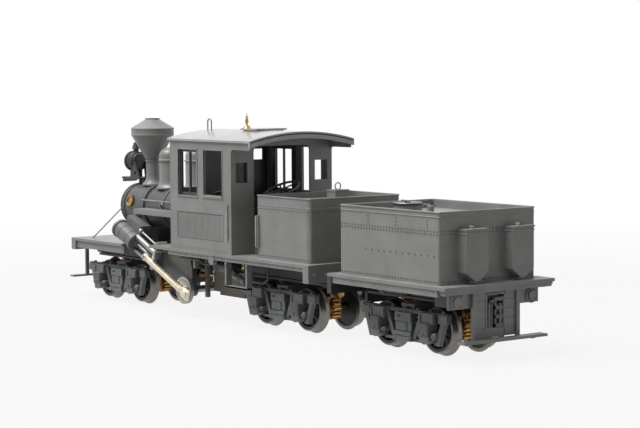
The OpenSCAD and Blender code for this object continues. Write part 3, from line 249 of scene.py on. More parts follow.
class Piece:
    """Collects solids, in millimetres, and finishes them as one object that rides on a body."""

    def __init__(self, name, material, body="main_frame", slot="grey_paint", bevel=0.05):
        self.name, self.material, self.body, self.slot, self.bevel = name, material, body, slot, bevel
        self.bm = bmesh.new()

    def faces(self, points, faces):
        verts = [self.bm.verts.new(p) for p in points]
        for face in faces:
            self.bm.faces.new([verts[i] for i in face])
        return verts

    def block(self, low, high):
        """A box between two corners."""
        (x0, x1), (y0, y1), (z0, z1) = (sorted(pair) for pair in zip(low, high))
        corners = [(x, y, z) for x in (x0, x1) for y in (y0, y1) for z in (z0, z1)]
        return self.faces(corners, [(0, 1, 3, 2), (4, 6, 7, 5), (0, 4, 5, 1),
                                    (2, 3, 7, 6), (0, 2, 6, 4), (1, 5, 7, 3)])

    def prism(self, outline, axis, start, end):
        """An outline in the plane across axis, from start to end along it.

        The outline's two numbers are the other two axes in X, Y, Z order.
        """
        k = "XYZ".index(axis)

        def place(pair, along):
            p = list(pair)
            p.insert(k, along)
            return p

        n = len(outline)
        points = [place(p, start) for p in outline] + [place(p, end) for p in outline]
        sides = [(i, (i + 1) % n, (i + 1) % n + n, i + n) for i in range(n)]
        return self.faces(points, sides + [tuple(range(n))[::-1], tuple(range(n, 2 * n))])

    def lathe(self, profile, centre, axis, sides=64):
        """A turned shape: profile is (radius, distance along axis) from centre."""
        turn = Vector((0, 0, 1)).rotation_difference(Vector(axis)).to_matrix()
        directions = [(math.cos(a), math.sin(a)) for a in turns(sides)]
        rings = []
        for radius, along in profile:
            points = [(radius * c, radius * s, along) for c, s in directions] if radius else [(0, 0, along)]
            rings.append([self.bm.verts.new(Vector(centre) + turn @ Vector(p)) for p in points])
        for a, b in zip(rings, rings[1:]):
            for i in range(sides):
                j = (i + 1) % sides
                quad = [a[i % len(a)], a[j % len(a)], b[j % len(b)], b[i % len(b)]]
                unique = list(dict.fromkeys(quad))
                if len(unique) > 2:
                    self.bm.faces.new(unique)
        return [v for ring in rings for v in ring]

    def post(self, place, normal, radius, height, sides):
        """A closed post that stands on a surface, round or with a few flat sides."""
        return self.lathe([(0, 0), (radius, 0), (radius, height), (0, height)], place, normal, sides)

    def band(self, place, axis, inner, outer, width, sides):
        """A flat ring round a bar or in a surface."""
        return self.lathe([(inner, 0), (outer, 0), (outer, width), (inner, width)], place, axis, sides)

    def rod(self, a, b, radius, sides=20):
        """A closed round bar from a to b."""
        along = Vector(b) - Vector(a)
        return self.post(a, along.normalized(), radius, along.length, sides)

    def tube(self, path, radius, sides=10, closed=False):
        """A round bar that follows a path of points."""
        points = [Vector(p) for p in path]
        n = len(points)
        rings, normal = [], None
        for i, p in enumerate(points):
            before = points[i - 1] if i or closed else p
            after = points[(i + 1) % n] if i < n - 1 or closed else p
            tangent = (after - before).normalized()
            if normal is None:
                normal = tangent.orthogonal().normalized()
            normal = (normal - tangent * normal.dot(tangent)).normalized()
            across = tangent.cross(normal)
            rings.append([self.bm.verts.new(p + radius * (math.cos(a) * normal + math.sin(a) * across))
                          for a in turns(sides)])
        pairs = list(zip(rings, rings[1:])) + ([(rings[-1], rings[0])] if closed else [])
        for a, b in pairs:
            for k in range(sides):
                j = (k + 1) % sides
                self.bm.faces.new((a[k], a[j], b[j], b[k]))
        if not closed:
            self.bm.faces.new(rings[0][::-1])
            self.bm.faces.new(rings[-1])

    def rivet(self, place, normal, radius=0.13):
        """A round head that stands on a surface."""
        shoulder = (radius * 0.72, radius * 0.75)
        profile = [(radius, -SUNK), (radius, radius * 0.3), shoulder, (0, radius * 0.95)]
        self.lathe(profile, place, normal, 8)

    def rivets(self, start, end, pitch, normal, radius=0.13):
        """A row of rivets from start to end, evenly spaced at about pitch."""
        start, end = Vector(start), Vector(end)
        count = max(1, round((end - start).length / pitch))
        for i in range(count + 1):
            self.rivet(start.lerp(end, i / count), normal, radius)

    def bolt(self, place, normal, radius=0.3, height=0.25):
        """A hexagon head with a washer under it."""
        washer, thick = radius * 1.3, 0.06
        self.lathe([(0, -SUNK), (washer, -SUNK), (washer, thick), (0, thick)], place, normal, 16)
        self.post(place, normal, radius, height, 6)

    def mirrored(self):
        """Adds the same shapes on the other side of the centre line."""
        everything = self.bm.verts[:] + self.bm.edges[:] + self.bm.faces[:]
        copied = bmesh.ops.duplicate(self.bm, geom=everything)["geom"]
        verts = [g for g in copied if isinstance(g, bmesh.types.BMVert)]
        bmesh.ops.scale(self.bm, vec=(1, -1, 1), verts=verts)
        return self

    def finish(self, replaces=()):
        bmesh.ops.recalc_face_normals(self.bm, faces=self.bm.faces[:])
        bmesh.ops.scale(self.bm, vec=(MM, MM, MM), verts=self.bm.verts[:])
        mesh = bpy.data.meshes.new(self.name)
        self.bm.to_mesh(mesh)
        self.bm.free()
        mesh.polygons.foreach_set("use_smooth", [True] * len(mesh.polygons))
        mesh.set_sharp_from_angle(angle=math.radians(35))
        mesh.materials.append(self.material)
        made = bpy.data.objects.new(self.name, mesh)
        bpy.context.scene.collection.objects.link(made)
        if self.bevel:
            modifier = made.modifiers.new("edges", "BEVEL")
            modifier.width = self.bevel * MM
            modifier.segments = 2
            modifier.limit_method = "ANGLE"
            modifier.angle_limit = math.radians(50)
        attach(made, self.body)
        if replaces:
            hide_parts(*replaces)
        return made


def arc(centre, radius, start, end, steps=8):
    """Points on an arc, with angles in degrees."""
    angles = [math.radians(start + (end - start) * i / steps) for i in range(steps + 1)]
    return [(centre[0] + radius * math.cos(a), centre[1] + radius * math.sin(a)) for a in angles]


def bar_outline(a, b, width):
    """A straight bar from a to b, as an outline of four points."""
    ax, az = a
    bx, bz = b
    length = math.hypot(bx - ax, bz - az)
    nx, nz = -(bz - az) / length * width / 2, (bx - ax) / length * width / 2
    return [(ax + nx, az + nz), (bx + nx, bz + nz), (bx - nx, bz - nz), (ax - nx, az - nz)]


def helix(centre, radius, length, count, steps=14):
    """Points of a helix along X, with count turns in its length."""
    points = []
    for i in range(count * steps + 1):
        angle = 2 * math.pi * i / steps
        points.append((centre[0] + length * i / (count * steps), centre[1] + radius * math.cos(angle),
                       centre[2] + radius * math.sin(angle)))
    return points


# ---- Trucks ----

FRAME_FACE = 8.3  # from the centre line to the side frames' back
BOLSTER_Z = 8.35


def journal_box(p, lids, x, out, z):
    """A pedestal with two ribs, and the journal box in it, rounded below, with its hinged lid."""
    p.block((x - 2.5, out - 0.1, z + 1.7), (x + 2.5, out - 2.0, z + 4.1))
    for rib in (-2.15, 2.15):
        p.block((x + rib - 0.3, out - 2.0, z + 1.9), (x + rib + 0.3, out - 2.25, z + 3.7))
    half, face = 1.6, out - 2.7
    box = [(x - half, z + 1.9), *arc((x, z - 1.2), half, 180, 360, 12), (x + half, z + 1.9)]
    p.prism(box, "Y", out, face)
    lid = ((-1.5, 1.75), (1.5, 1.75), (1.5, -0.6), (1.1, -1.0), (-1.1, -1.0), (-1.5, -0.6))
    lids.prism([(x + u, z + v) for u, v in lid], "Y", face, face - 0.25)
    lids.rod((x - 1.1, face - 0.1, z + 1.6), (x + 1.1, face - 0.1, z + 1.6), 0.28, 12)
    lids.rivet((x, face - 0.25, z - 0.5), (0, -1, 0), 0.3)


def side_frames(truck, x, z_axle, reach):
    """Cast side frames with their rails, legs, journal boxes and spring box."""
    body = f"{truck}_truck"
    p = Piece(f"{truck}_side_frames", GREY_TRUCK, body, bevel=0.09)
    lids = Piece(f"{truck}_journal_lids", LID, body, bevel=0.06)
    rails = Piece(f"{truck}_top_rails", DARK, body, "dark_paint", bevel=0.06)
    rail = z_axle + 4.4
    bottom = z_axle - 2.9
    out = -FRAME_FACE

    def plate(x0, x1, out0, out1, z0, z1):
        p.block((x + x0, out - out0, z0), (x + x1, out - out1, z1))

    def leg(a, b, width, out0, out1):
        p.prism([(x + u, v) for u, v in bar_outline(a, b, width)], "Y", out - out0, out - out1)

    rails.block((x - 15, out, rail - 0.5), (x + 15, out - 1.3, rail))
    plate(-14.6, 14.6, 0.2, 1.0, rail - 0.9, rail - 0.55)
    for s in SIDES:
        plate(s * 12.1, s * 15, 0, 1.5, rail - 2.3, rail - 0.45)
        leg((s * 13.9, rail - 0.6), (s * 11.6, bottom), 1.15, 0.1, 1.38)
        leg((s * 6.1, rail - 0.6), (s * 3.4, bottom + 0.5), 1.05, 0, 1.25)
        axle_x = x + s * reach
        journal_box(p, lids, axle_x, out, z_axle)
        # lugs beside the box
        for lug, size in ((-s * 2.2, 0.6), (s * 2.4, 0.85)):
            lug_x, lug_z, length = axle_x + lug, z_axle - 0.9, 2.2
            p.lathe([(0, 0), (size, 0), (size, length - 0.3), (size - 0.3, length), (0, length)],
                    (lug_x, out, lug_z), (0, -1, 0), 16)
            p.bolt((lug_x, out - length, lug_z), (0, -1, 0), 0.35, 0.25)
        plate(s * 3.2, s * (reach - 1.8), 0.3, 1.1, bottom, bottom + 0.6)
        plate(s * (reach + 1.8), s * 11.9, 0.3, 1.1, bottom - 0.1, bottom + 0.5)
    # plain bolster end with a square hole, over its grooved spring seat
    plate(-2.8, 2.8, 0.1, 1.35, z_axle - 0.8, rail - 0.9)
    for x0, x1, z0, z1 in ((-2.8, -1.75, 2.35, 2.95), (-0.85, 2.8, 2.35, 2.95),
                           (-2.8, 2.8, 1.5, 2.35), (-2.8, 2.8, 2.95, 3.5)):
        plate(x0, x1, 1.35, 1.65, z_axle + z0, z_axle + z1)
    plate(-2.6, 1.2, 1.35, 1.55, z_axle - 0.6, z_axle + 1.3)
    plate(-3.1, 3.1, 0.1, 1.95, bottom, bottom + 1.0)
    plate(-3.0, 3.0, 0.1, 1.6, bottom + 0.9, bottom + 1.25)
    plate(-3.1, 3.1, 0.1, 1.95, bottom + 1.2, bottom + 2.1)
    for s in SIDES:
        p.bolt((x + s * 2.3, out - 1.95, bottom + 0.5), (0, -1, 0), 0.3, 0.2)
    for bolt_x in (-13, -8.7, -4.4, 0, 4.4, 8.7, 13):
        p.bolt((x + bolt_x, out - 0.65, rail), (0, 0, 1), 0.42, 0.36)
    p.mirrored()
    lids.mirrored().finish()
    rails.mirrored().finish()
    bolster(p, x, bottom, span(f"{truck}_truck_frame")[1].z - 4.0)
    p.finish(replaces=[f"{truck}_truck_frame"])


def bolster(p, x, bottom, top):
    """The bolster with its centre plate and king pin, and the two spring planks."""
    p.block((x - 2.3, -FRAME_FACE, BOLSTER_Z), (x + 2.3, FRAME_FACE, top))
    inner, outer = 7.6, FRAME_FACE - 0.02
    p.block((x - 1.9, -outer, bottom), (x + 1.9, -inner, bottom + 0.8))
    p.block((x - 1.9, inner, bottom), (x + 1.9, outer, bottom + 0.8))
    plate_r, pin_r = 2.3, 1.2
    profile = [(0, -0.6), (plate_r, -0.6), (plate_r, 0.5), (plate_r - 0.4, 0.6),
               (pin_r, 0.6), (pin_r, 4), (0, 4)]
    p.lathe(profile, (x, 0, top), (0, 0, 1), 40)


def wheel_profile(r, flange, width):
    """Section of a tyre with its tread and flange, as (radius, distance from the wheel's back)."""
    return [
        (r - 0.6, 0.15), (r - 0.2, 0), (r, 0), (r + 0.55 * flange, 0.03), (r + 0.9 * flange, 0.16),
        (r + flange, 0.3), (r + 0.93 * flange, 0.45), (r + 0.6 * flange, 0.62), (r + 0.2 * flange, 0.76),
        (r, 0.95), (r - 0.03, width - 0.3), (r - 0.09, width - 0.1), (r - 0.2, width), (r - 0.45, width),
        (r - 0.57, width - 0.08), (r - 0.6, width - 0.3), (r - 0.6, width - 1.0)]


def axle_gear(truck, letter, body, centre):
    """A brass gear with two collars on the axle."""
    gear = Piece(f"{truck}_axle_gear_{letter}", BRASS, body, "brass", bevel=0.03)
    teeth, tip, root = 16, 3.0, 2.3
    tooth = ((-0.34, root), (-0.2, tip - 0.1), (-0.1, tip), (0.1, tip), (0.2, tip - 0.1), (0.34, root))
    outline = []
    for i in range(teeth):
        for step, radius in tooth:
            a = 2 * math.pi * (i + step) / teeth
            outline.append((centre.x + radius * math.cos(a), centre.z + radius * math.sin(a)))
    gear.prism(outline, "Y", -1, 1)
    bore, collar, end = 1.02, 1.8, 1.25
    gear.lathe([(bore, -end), (collar - 0.1, -end), (collar, 0.1 - end), (collar, end - 0.1),
                (collar - 0.1, end), (bore, end)], centre, (0, 1, 0), 32)
    gear.finish()


def wheelset(truck, letter):
    """Polished tyres, dark spoked centres, axle and a brass axle gear."""
    node, body = f"{truck}_wheelset_{letter}", f"{truck}_axle_{letter}"
    centre = joint(f"{truck}_axle_{letter}_spin")
    low, high = span(node)
    flange = 0.64
    r = (high.z - low.z) / 2 - flange
    back, width = 4.5, 2.7
    tyres = Piece(f"{truck}_tyres_{letter}", TYRE, body, "wheel_steel", bevel=0)
    middles = Piece(f"{truck}_wheel_centres_{letter}", DARK, body, "wheel_steel")
    spokes = 9
    tyre = wheel_profile(r, flange, width)
    web = [(0, 0.3), (r - 0.62, 0.3), (r - 0.62, width - 0.15), (r - 1.1, width - 0.15), (r - 1.2, 1.0),
           (r - 1.5, 0.95), (2.4, 1.1), (1.9, 1.5), (1.75, width - 0.35), (1.2, width - 0.2),
           (0, width - 0.2)]
    for s in SIDES:
        at = centre + Vector((0, s * back, 0))
        tyres.lathe(tyre + tyre[:1], at, (0, s, 0), 96)
        middles.lathe(web, at, (0, s, 0), 64)
        for angle in turns(spokes):
            turn = Matrix.Rotation(angle, 3, "Y")
            spoke = middles.block((1.6, 0.9, -0.2), (r - 1.1, width - 1.0, 0.2))
            for v in spoke:
                if v.co.x > 2.5:
                    v.co.y -= 0.35
                v.co = at + turn @ Vector((v.co.x, s * v.co.y, v.co.z))
    tyres.finish(replaces=[node])
    middles.finish()
    axle = Piece(f"{truck}_axle_{letter}", TYRE, body, "wheel_steel", bevel=0.04)
    axle.rod(centre - Vector((0, back, 0)), centre + Vector((0, back, 0)), 1.0, 32)
    for s in SIDES:
        axle.rod(centre + Vector((0, s * (back + 1), 0)), (centre.x, s * (high.y - 0.02), centre.z), 0.7, 24)
    axle.finish()
    axle_gear(truck, letter, body, centre)


def shaft_threads(truck):
    """Worm threads and coupling pins on a line shaft."""
    z = joint(f"{truck}_shaft_spin").z
    p = Piece(f"{truck}_worm_threads", BRASS, f"{truck}_shaft", "brass", bevel=0)
    worm_l = 2.4
    for letter in AXLES:
        x = joint(f"{truck}_axle_{letter}_spin").x
        p.tube(helix((x - worm_l / 2, 0, z), 0.66, worm_l, 6), 0.08, 6)
    low, high = span(f"{truck}_line_shaft")
    for x in (low.x + 0.55, high.x - 0.55):
        p.rod((x, -0.96, z), (x, 0.96, z), 0.22, 10)
    p.finish()


def truck_fittings(truck, x, z_axle, reach):
    """Brake shoes on their beams, and the bearing caps of the gear case."""
    p = Piece(f"{truck}_brake_gear", DARK, f"{truck}_truck", "dark_paint")
    for s in SIDES:
        face = x + s * (reach - 6.25)
        for side in SIDES:
            shoe = [(face, z_axle - 1.6), (face - s * 0.7, z_axle - 1.4), (face - s * 0.9, z_axle + 1.4),
                    (face - s * 0.2, z_axle + 1.7)]
            p.prism(shoe, "Y", side * 5.3, side * 6.6)
        beam_x, beam_z = face - s * 0.7, z_axle - 0.1
        p.rod((beam_x, -6.9, beam_z), (beam_x, 6.9, beam_z), 0.3, 12)
    p.finish()
    caps = Piece(f"{truck}_bearing_caps", COPPER, f"{truck}_truck", "gear_case_brass", bevel=0.06)
    case_top = span(f"{truck}_gear_case")[1].z
    cap_top = case_top + 0.35
    for s in SIDES:
        for end in (-1, 1):
            cap_x = x + s * reach + end * 2.1
            caps.block((cap_x - 0.62, -1.15, case_top - 0.02), (cap_x + 0.62, 1.15, cap_top))
            for y in (-0.8, 0.8):
                caps.bolt((cap_x, y, cap_top), (0, 0, 1), 0.22, 0.2)
    caps.finish()


def trucks():
    for truck in TRUCKS:
        x = joint(f"{truck}_truck_swivel").x
        axle = joint(f"{truck}_axle_a_spin")
        reach = abs(axle.x - x)
        side_frames(truck, x, axle.z, reach)
        truck_fittings(truck, x, axle.z, reach)
        shaft_threads(truck)
        for letter in AXLES:
            wheelset(truck, letter)


# ---- Tender ----

def loop_rivets(p, low, high, z, pitch, radius=0.19):
    """A row of rivets round a box's four sides at height z."""
    inset = 0.7
    for s in SIDES:
        y = high.y if s > 0 else low.y
        p.rivets((low.x + inset, y, z), (high.x - inset, y, z), pitch, (0, s, 0), radius)
        x = high.x if s > 0 else low.x
        p.rivets((x, low.y + inset, z), (x, high.y - inset, z), pitch, (s, 0, 0), radius)


def rim_path(low, high, z, radius, grow=0.0):
    """A closed path round a box with rounded corners."""
    x0, x1, y0, y1 = low.x - grow, high.x + grow, low.y - grow, high.y + grow
    corners = ((x1 - radius, y1 - radius), (x0 + radius, y1 - radius),
               (x0 + radius, y0 + radius), (x1 - radius, y0 + radius))
    path = []
    for i, corner in enumerate(corners):
        path += [(u, v, z) for u, v in arc(corner, radius, 90 * i, 90 * i + 90, 5)]
    return path


def tank_looks():
    low, high = span("tender_tank")
    high.x = joint("feed_lid_left_lift").x - 0.47
    p = Piece("tank_rivets", RIVET_SHADE, "tender", bevel=0)
    seam = 28.9
    for z in (low.z + 0.7, seam - 0.78, seam - 0.12):
        loop_rivets(p, low, high, z, 1.0)
    middle = low.z + 6.3
    for s in SIDES:
        y = high.y if s > 0 else low.y
        p.rivets((low.x + 9.6, y, middle), (high.x - 1.7, y, middle), 2.1, (0, s, 0), 0.19)
        for x in (low.x + 10.3, low.x + 20.2, low.x + 30.8):
            p.rivets((x, y, seam + 0.6), (x, y, seam + 2.2), 0.8, (0, s, 0), 0.18)
    p.finish()
    trim = Piece("tank_rim_and_seam", GREY, "tender", bevel=0)
    trim.tube(rim_path(low, high, high.z - 0.14, 0.6), 0.2, 8, closed=True)
    trim.tube(rim_path(low, high, high.z - 1.15, 0.55, 0.02), 0.13, 8, closed=True)
    trim.finish()
    top = high.z - 1.8
    deck = Piece("tank_top_fittings", GREY, "tender")
    for x in (low.x + 17.2, low.x + 25):
        deck.rivets((x, low.y + 1, top), (x, high.y - 1, top), 1.1, (0, 0, 1))
    x0, x1, handle_top = low.x + 3, low.x + 5.4, top + 0.9
    for y in (-8.5, 8.5):
        deck.tube([(x0, y, top), (x0, y, handle_top), (x1, y, handle_top), (x1, y, top)], 0.16, 8)
    deck.lathe([(0, 0), (1.5, 0), (1.5, 0.4), (0.9, 0.6), (0.9, 1.1), (0.5, 1.4), (0, 1.4)],
               (high.x - 5, 8, top), (0, 0, 1), 28)
    deck.finish()
    tank_hatch_looks()


def tank_hatch_looks():
    """Rim wire and handle of the tank's hatch."""
    low, high = span("tank_hatch")
    lid = Piece("tank_hatch_fittings", NICKEL, "tank_lid", "nickel", bevel=0.04)
    x = (low.x + 0.6 + high.x) / 2
    y = (low.y + high.y) / 2
    z = joint("tank_hatch_lift").z + 0.5
    rim_r = 3.2
    lid.tube([(x + rim_r * math.cos(a), y + rim_r * math.sin(a), z) for a in turns(48)], 0.13, 8, closed=True)
    x0, x1, handle_y = x - 1.2, x + 1.2, y - 0.9
    handle = [(x0, handle_y, z), (x0, handle_y, z + 0.6), (x1, handle_y, z + 0.6), (x1, handle_y, z)]
    lid.tube(handle, 0.14, 8)
    lid.finish()


def feed_box_looks():
    """Folded rims, corner angles and rivets of the feed boxes, the clamps under them and the lid knobs."""
    low, high = span("feed_boxes")
    p = Piece("feed_box_fittings", GREY, "tender", bevel=0.04)
    face = high.x
    for side in ("left", "right"):
        lid_low, lid_high = span(f"feed_lid_{side}")
        y0, y1 = lid_low.y + 0.15, lid_high.y - 0.15
        top = lid_low.z - 0.05
        p.block((low.x, y0 - 0.12, top - 0.7), (face + 0.12, y1 + 0.12, top - 0.35))
        p.block((face, y0 + 0.1, top - 8.9), (face + 0.1, y1 - 0.1, top - 8.65))
        p.block((low.x, y0 - 0.35, top - 9.1), (low.x + 0.25, y0, top - 0.3))
        p.block((low.x, y1, top - 9.1), (low.x + 0.25, y1 + 0.35, top - 0.3))
        p.rivets((face, y0 + 0.4, top - 8.6), (face, y1 - 0.4, top - 8.6), 0.6, (1, 0, 0), 0.1)
        for y in (y0 + 0.35, y1 - 0.35):
            p.rivets((face, y, top - 1.3), (face, y, top - 8), 0.75, (1, 0, 0), 0.1)
        middle = (y0 + y1) / 2
        p.band(((low.x + face) / 2, middle, low.z + 0.1), (0, 0, 1), 0.62, 0.85, 0.35, 20)
        lid = Piece(f"feed_lid_{side}_fittings", NICKEL, f"feed_lid_{side[0]}", "nickel", bevel=0.03)
        knob = [(0, 0), (0.55, 0), (0.55, 0.12), (0.3, 0.2), (0.3, 0.3), (0.5, 0.42), (0.5, 0.6), (0, 0.7)]
        lid.lathe(knob, (lid_high.x - 0.95, middle - 0.96, lid_low.z + 0.4), (0, 0, 1), 20)
        lid.finish()
    p.finish()


def coupler_looks():
    """Planks and frame of the coupler board, and the slotted pocket in its opening."""
    low, high = span("coupler_board")
    x = low.x + 0.6
    face = x + 0.8
    z0, z1 = low.z, high.z
    p = Piece("coupler_board_planks", GREY, "tender")
    opening, board_half = 2.5, 6.35
    top = z1 - 0.8
    planks, gap = 5, 0.04
    step = (z1 - z0) / planks
    for i in range(planks):
        for s in SIDES:
            p.block((face - 0.1, s * (opening + 0.25), z0 + i * step + gap),
                    (face + 0.14, s * board_half, z0 + (i + 1) * step - gap))
    for s in SIDES:
        p.block((face - 0.3, s * opening, z0 + 1.9), (face + 0.3, s * (opening + 0.45), top + 0.4))
        p.block((face - 0.1, s * board_half, z0), (face + 0.25, s * (board_half - 0.45), z1))
    p.block((face - 0.3, -opening - 0.4, top), (face + 0.3, opening + 0.4, top + 0.4))
    p.finish()
    pocket = Piece("coupler_pocket", GREY_TRUCK, "tender")
    back, front = x - 0.5, face + 0.3
    for i in range(4):
        z = z0 + 2.1 + i * 1.95
        pocket.block((back, -0.3, z), (front, 2.4, z + 0.8))
        pocket.rod((face - 0.3, 0.9, z + 0.4), (face + 0.42, 0.9, z + 0.4), 0.25, 12)
    pocket.block((back, -0.3, z0 + 1.9), (front, 0.1, top - 1.6))
    pocket.block((back, 2.2, z0 + 1.9), (front, 2.48, top - 0.5))
    for y in (-1.0, -1.9):
        pocket.tube([(face, y, z0 + 2), (face, y, top - 2.2), (face, y + 0.5, top - 1.5),
                     (face, y + 1.6, top - 1.2)], 0.2, 8)
    pocket.finish()
    poling_pockets(x, z1)


def poling_pockets(x, top):
    """A square bolted socket on the left of the rear beam, and a deep round one on the right."""
    p = Piece("poling_pockets", GREY, "tender", bevel=0.04)
    y, z = 11.1, top - 1.8
    plate = x + 0.75
    p.block((x, -y - 1.7, z - 1.5), (plate, -y + 1.7, z + 1.4))
    for dy in (-1.25, 1.25):
        for dz in (-1.1, 1.0):
            p.bolt((plate, -y + dy, z + dz), (1, 0, 0), 0.24, 0.22)
    p.lathe([(0.85, 0), (0.75, 0.3), (0.5, 0.3), (0, 0.1)], (plate, -y, z), (1, 0, 0), 24)
    p.lathe([(1.75, 0), (1.75, 0.5), (1.55, 0.7), (1.35, 0.45), (1.15, 0.4), (1.1, 0.85), (0.8, 0.95),
             (0.6, 0.6), (0, 0.5)], (x + 0.3, y, z), (1, 0, 0), 32)
    for s in SIDES:
        p.block((x + 0.02, s * 7.0, top - 3.35), (x + 0.35, s * 6.6, top - 0.3))
    p.finish()


def rear_footboard_looks():
    """Two boards on the rear footboard, and the brackets under them."""
    low, high = span("rear_footboard")
    board = Piece("rear_footboard_boards", GREY_TRUCK, "tender", bevel=0.06)
    z0, z1 = low.z + 0.45, low.z + 0.62
    for x0, x1 in ((high.x - 2.35, high.x - 1.25), (high.x - 1.15, high.x - 0.05)):
        board.block((x0, low.y + 0.1, z0), (x1, high.y - 0.1, z1))
    bracket = [(high.x - 2.3, low.z), (high.x - 0.4, low.z), (high.x - 2.3, low.z - 0.6)]
    for s in SIDES:
        board.prism(bracket, "Y", s * 9.3, s * 10.1)
    board.finish()


def tender_frame_looks():
    low, high = span("tender_deck")
    p = Piece("tender_frame_bolts", RIVET_SHADE, "tender", bevel=0)
    for s in SIDES:
        y = s * (high.y - 0.3)
        for x in (low.x + 9, low.x + 17, low.x + 21.5, low.x + 27, high.x - 4):
            p.rivet((x, y, low.z + 0.9), (0, s, 0), 0.14)
    for y in range(-14, 15, 2):
        p.rivet((high.x - 0.5, y, low.z + 1.0), (1, 0, 0), 0.12)
    p.finish()
    moulding = Piece("tender_deck_edge", GREY, "tender", bevel=0.04)
    moulding.block((high.x - 2.2, low.y + 0.35, high.z - 1.25), (high.x - 0.3, high.y - 0.35, high.z - 0.72))
    moulding.finish()
    sill_flanges("tender_sill_flanges", "tender", low.x + 2.5, high.x - 5, low.z)
    front_hanger(low)
    brake_rigging(joint("rear_truck_swivel").x)


def front_hanger(low):
    """A dark plate with two hangers, under the deck's front end."""
    hanger = Piece("tender_front_hanger", DARK, "tender", "dark_paint")
    x0, x1 = low.x + 1.6, low.x + 2.2
    hanger.block((x0, -6.2, 9.6), (x1, 3, 12.4))
    hanger.block((x0, 4.6, 12.2), (x1, 6.2, low.z))
    hanger.block((x0, -6.2, 12.2), (x1, -4.6, low.z))
    hanger.block((x0, 2.8, 12.2), (x1, 4.8, 12.6))
    hanger.finish()


def brake_rigging(x):
    """Brake cylinders with straps, hangers and pipes over the rear truck, and the drawbar pin's knob."""
    under = Piece("tender_brake_rigging", DARK, "tender", "dark_paint", bevel=0.04)
    r, z = 1.15, 14.3
    for s in SIDES:
        y = s * 9.5
        under.rod((x - 8, y, z), (x + 2, y, z), r, 28)
        for end in (-6.6, 0.4):
            under.band((x + end, y, z), (1, 0, 0), r, r + 0.15, 0.5, 28)
        pipe = [(x + 2, y, z), (x + 5, y, z + 0.2), (x + 7, y - s, z + 0.7), (x + 12, y - s, z + 0.9)]
        under.tube(pipe, 0.3, 10)
        for hanger_x in (x - 5.2, x - 1.2):
            under.block((hanger_x, y - 0.3, z + 1), (hanger_x + 0.6, y + 0.3, z + 2.1))
    under.finish()
    pin = Piece("drawbar_pin_knob", NICKEL, "tender", "nickel", bevel=0.03)
    pin.lathe([(0, 0), (0.7, 0), (0.7, 0.5), (0.3, 0.9), (0, 0.9)], (x + 15.5, -1.2, 15.0), (1, 0, 0), 20)
    pin.finish()


# ---- Main frame ----

def sill_flanges(name, body, x0, x1, deck_z):
    """Inner flanges and webs of the centre sills, which close the view under the deck; their black is partly
    painted shade, the dark under the deck.
    """
    p = Piece(name, DARK, body, "dark_paint", bevel=0.04)
    foot = 11.95
    for s in SIDES:
        p.block((x0, s * 4.4, foot), (x1, s * 6.2, foot + 0.6))
        p.block((x0, s * 4.4, foot), (x1, s * 4.9, deck_z))
    p.finish()


def deck_looks():
    low, high = span("main_deck")
    cab_low = span("cab_walls")[0]
    deck_top = cab_low.z
    p = Piece("main_deck_rivets", RIVET_SHADE, bevel=0)
    row_z = deck_top - 1.2
    for s in SIDES:
        y = s * (high.y - 0.3)
        p.rivets((cab_low.x + 1, y, row_z), (high.x - 3, y, row_z), 3.3, (0, s, 0), 0.14)
    p.finish()
    sill_low, sill_high = span("main_sills")
    sill_flanges("main_sill_flanges", "main_frame", sill_low.x + 2, sill_high.x - 2, low.z)
    steps = Piece("cab_step_treads", GREY, bevel=0.04)
    step_low, step_high = span("cab_steps")
    for s in SIDES:
        outer = s * -step_low.y
        inner = outer - s * 1.6
        steps.block((step_low.x, outer, step_low.z), (step_high.x, inner, step_low.z + 0.55))
        for x in (step_low.x + 0.3, step_high.x - 0.3):
            steps.bolt((x, outer, step_high.z - 0.6), (0, s, 0), 0.28, 0.2)
            steps.bolt((x, outer, step_low.z + 1.2), (0, s, 0), 0.22, 0.15)
    steps.finish()
    end_beam_looks(deck_top)


def end_beam_looks(deck_top):
    """Bolts of both end beams, and the front coupler's pocket."""
    beams = Piece("end_beam_bolts", GREY, bevel=0.03)
    low, high = span("end_beams")
    for y in (-14.5, -11, -7, 7, 11, 14.5):
        beams.bolt((high.x, y, deck_top - 2.4), (1, 0, 0), 0.35, 0.3)
    for y in (-11, -7, 7, 11):
        beams.bolt((low.x, y, 15.0), (-1, 0, 0), 0.35, 0.3)
    front, half, foot = low.x - 0.9, 1.9, 11.6
    beams.block((front, -half, foot), (low.x, 0.6 - half, 16.0))
    beams.block((front, half - 0.6, foot), (low.x, half, 16.0))
    for z in (foot, 13.4, 15.4):
        beams.block((front, -half, z), (low.x, half, z + 0.6))
    beams.finish()


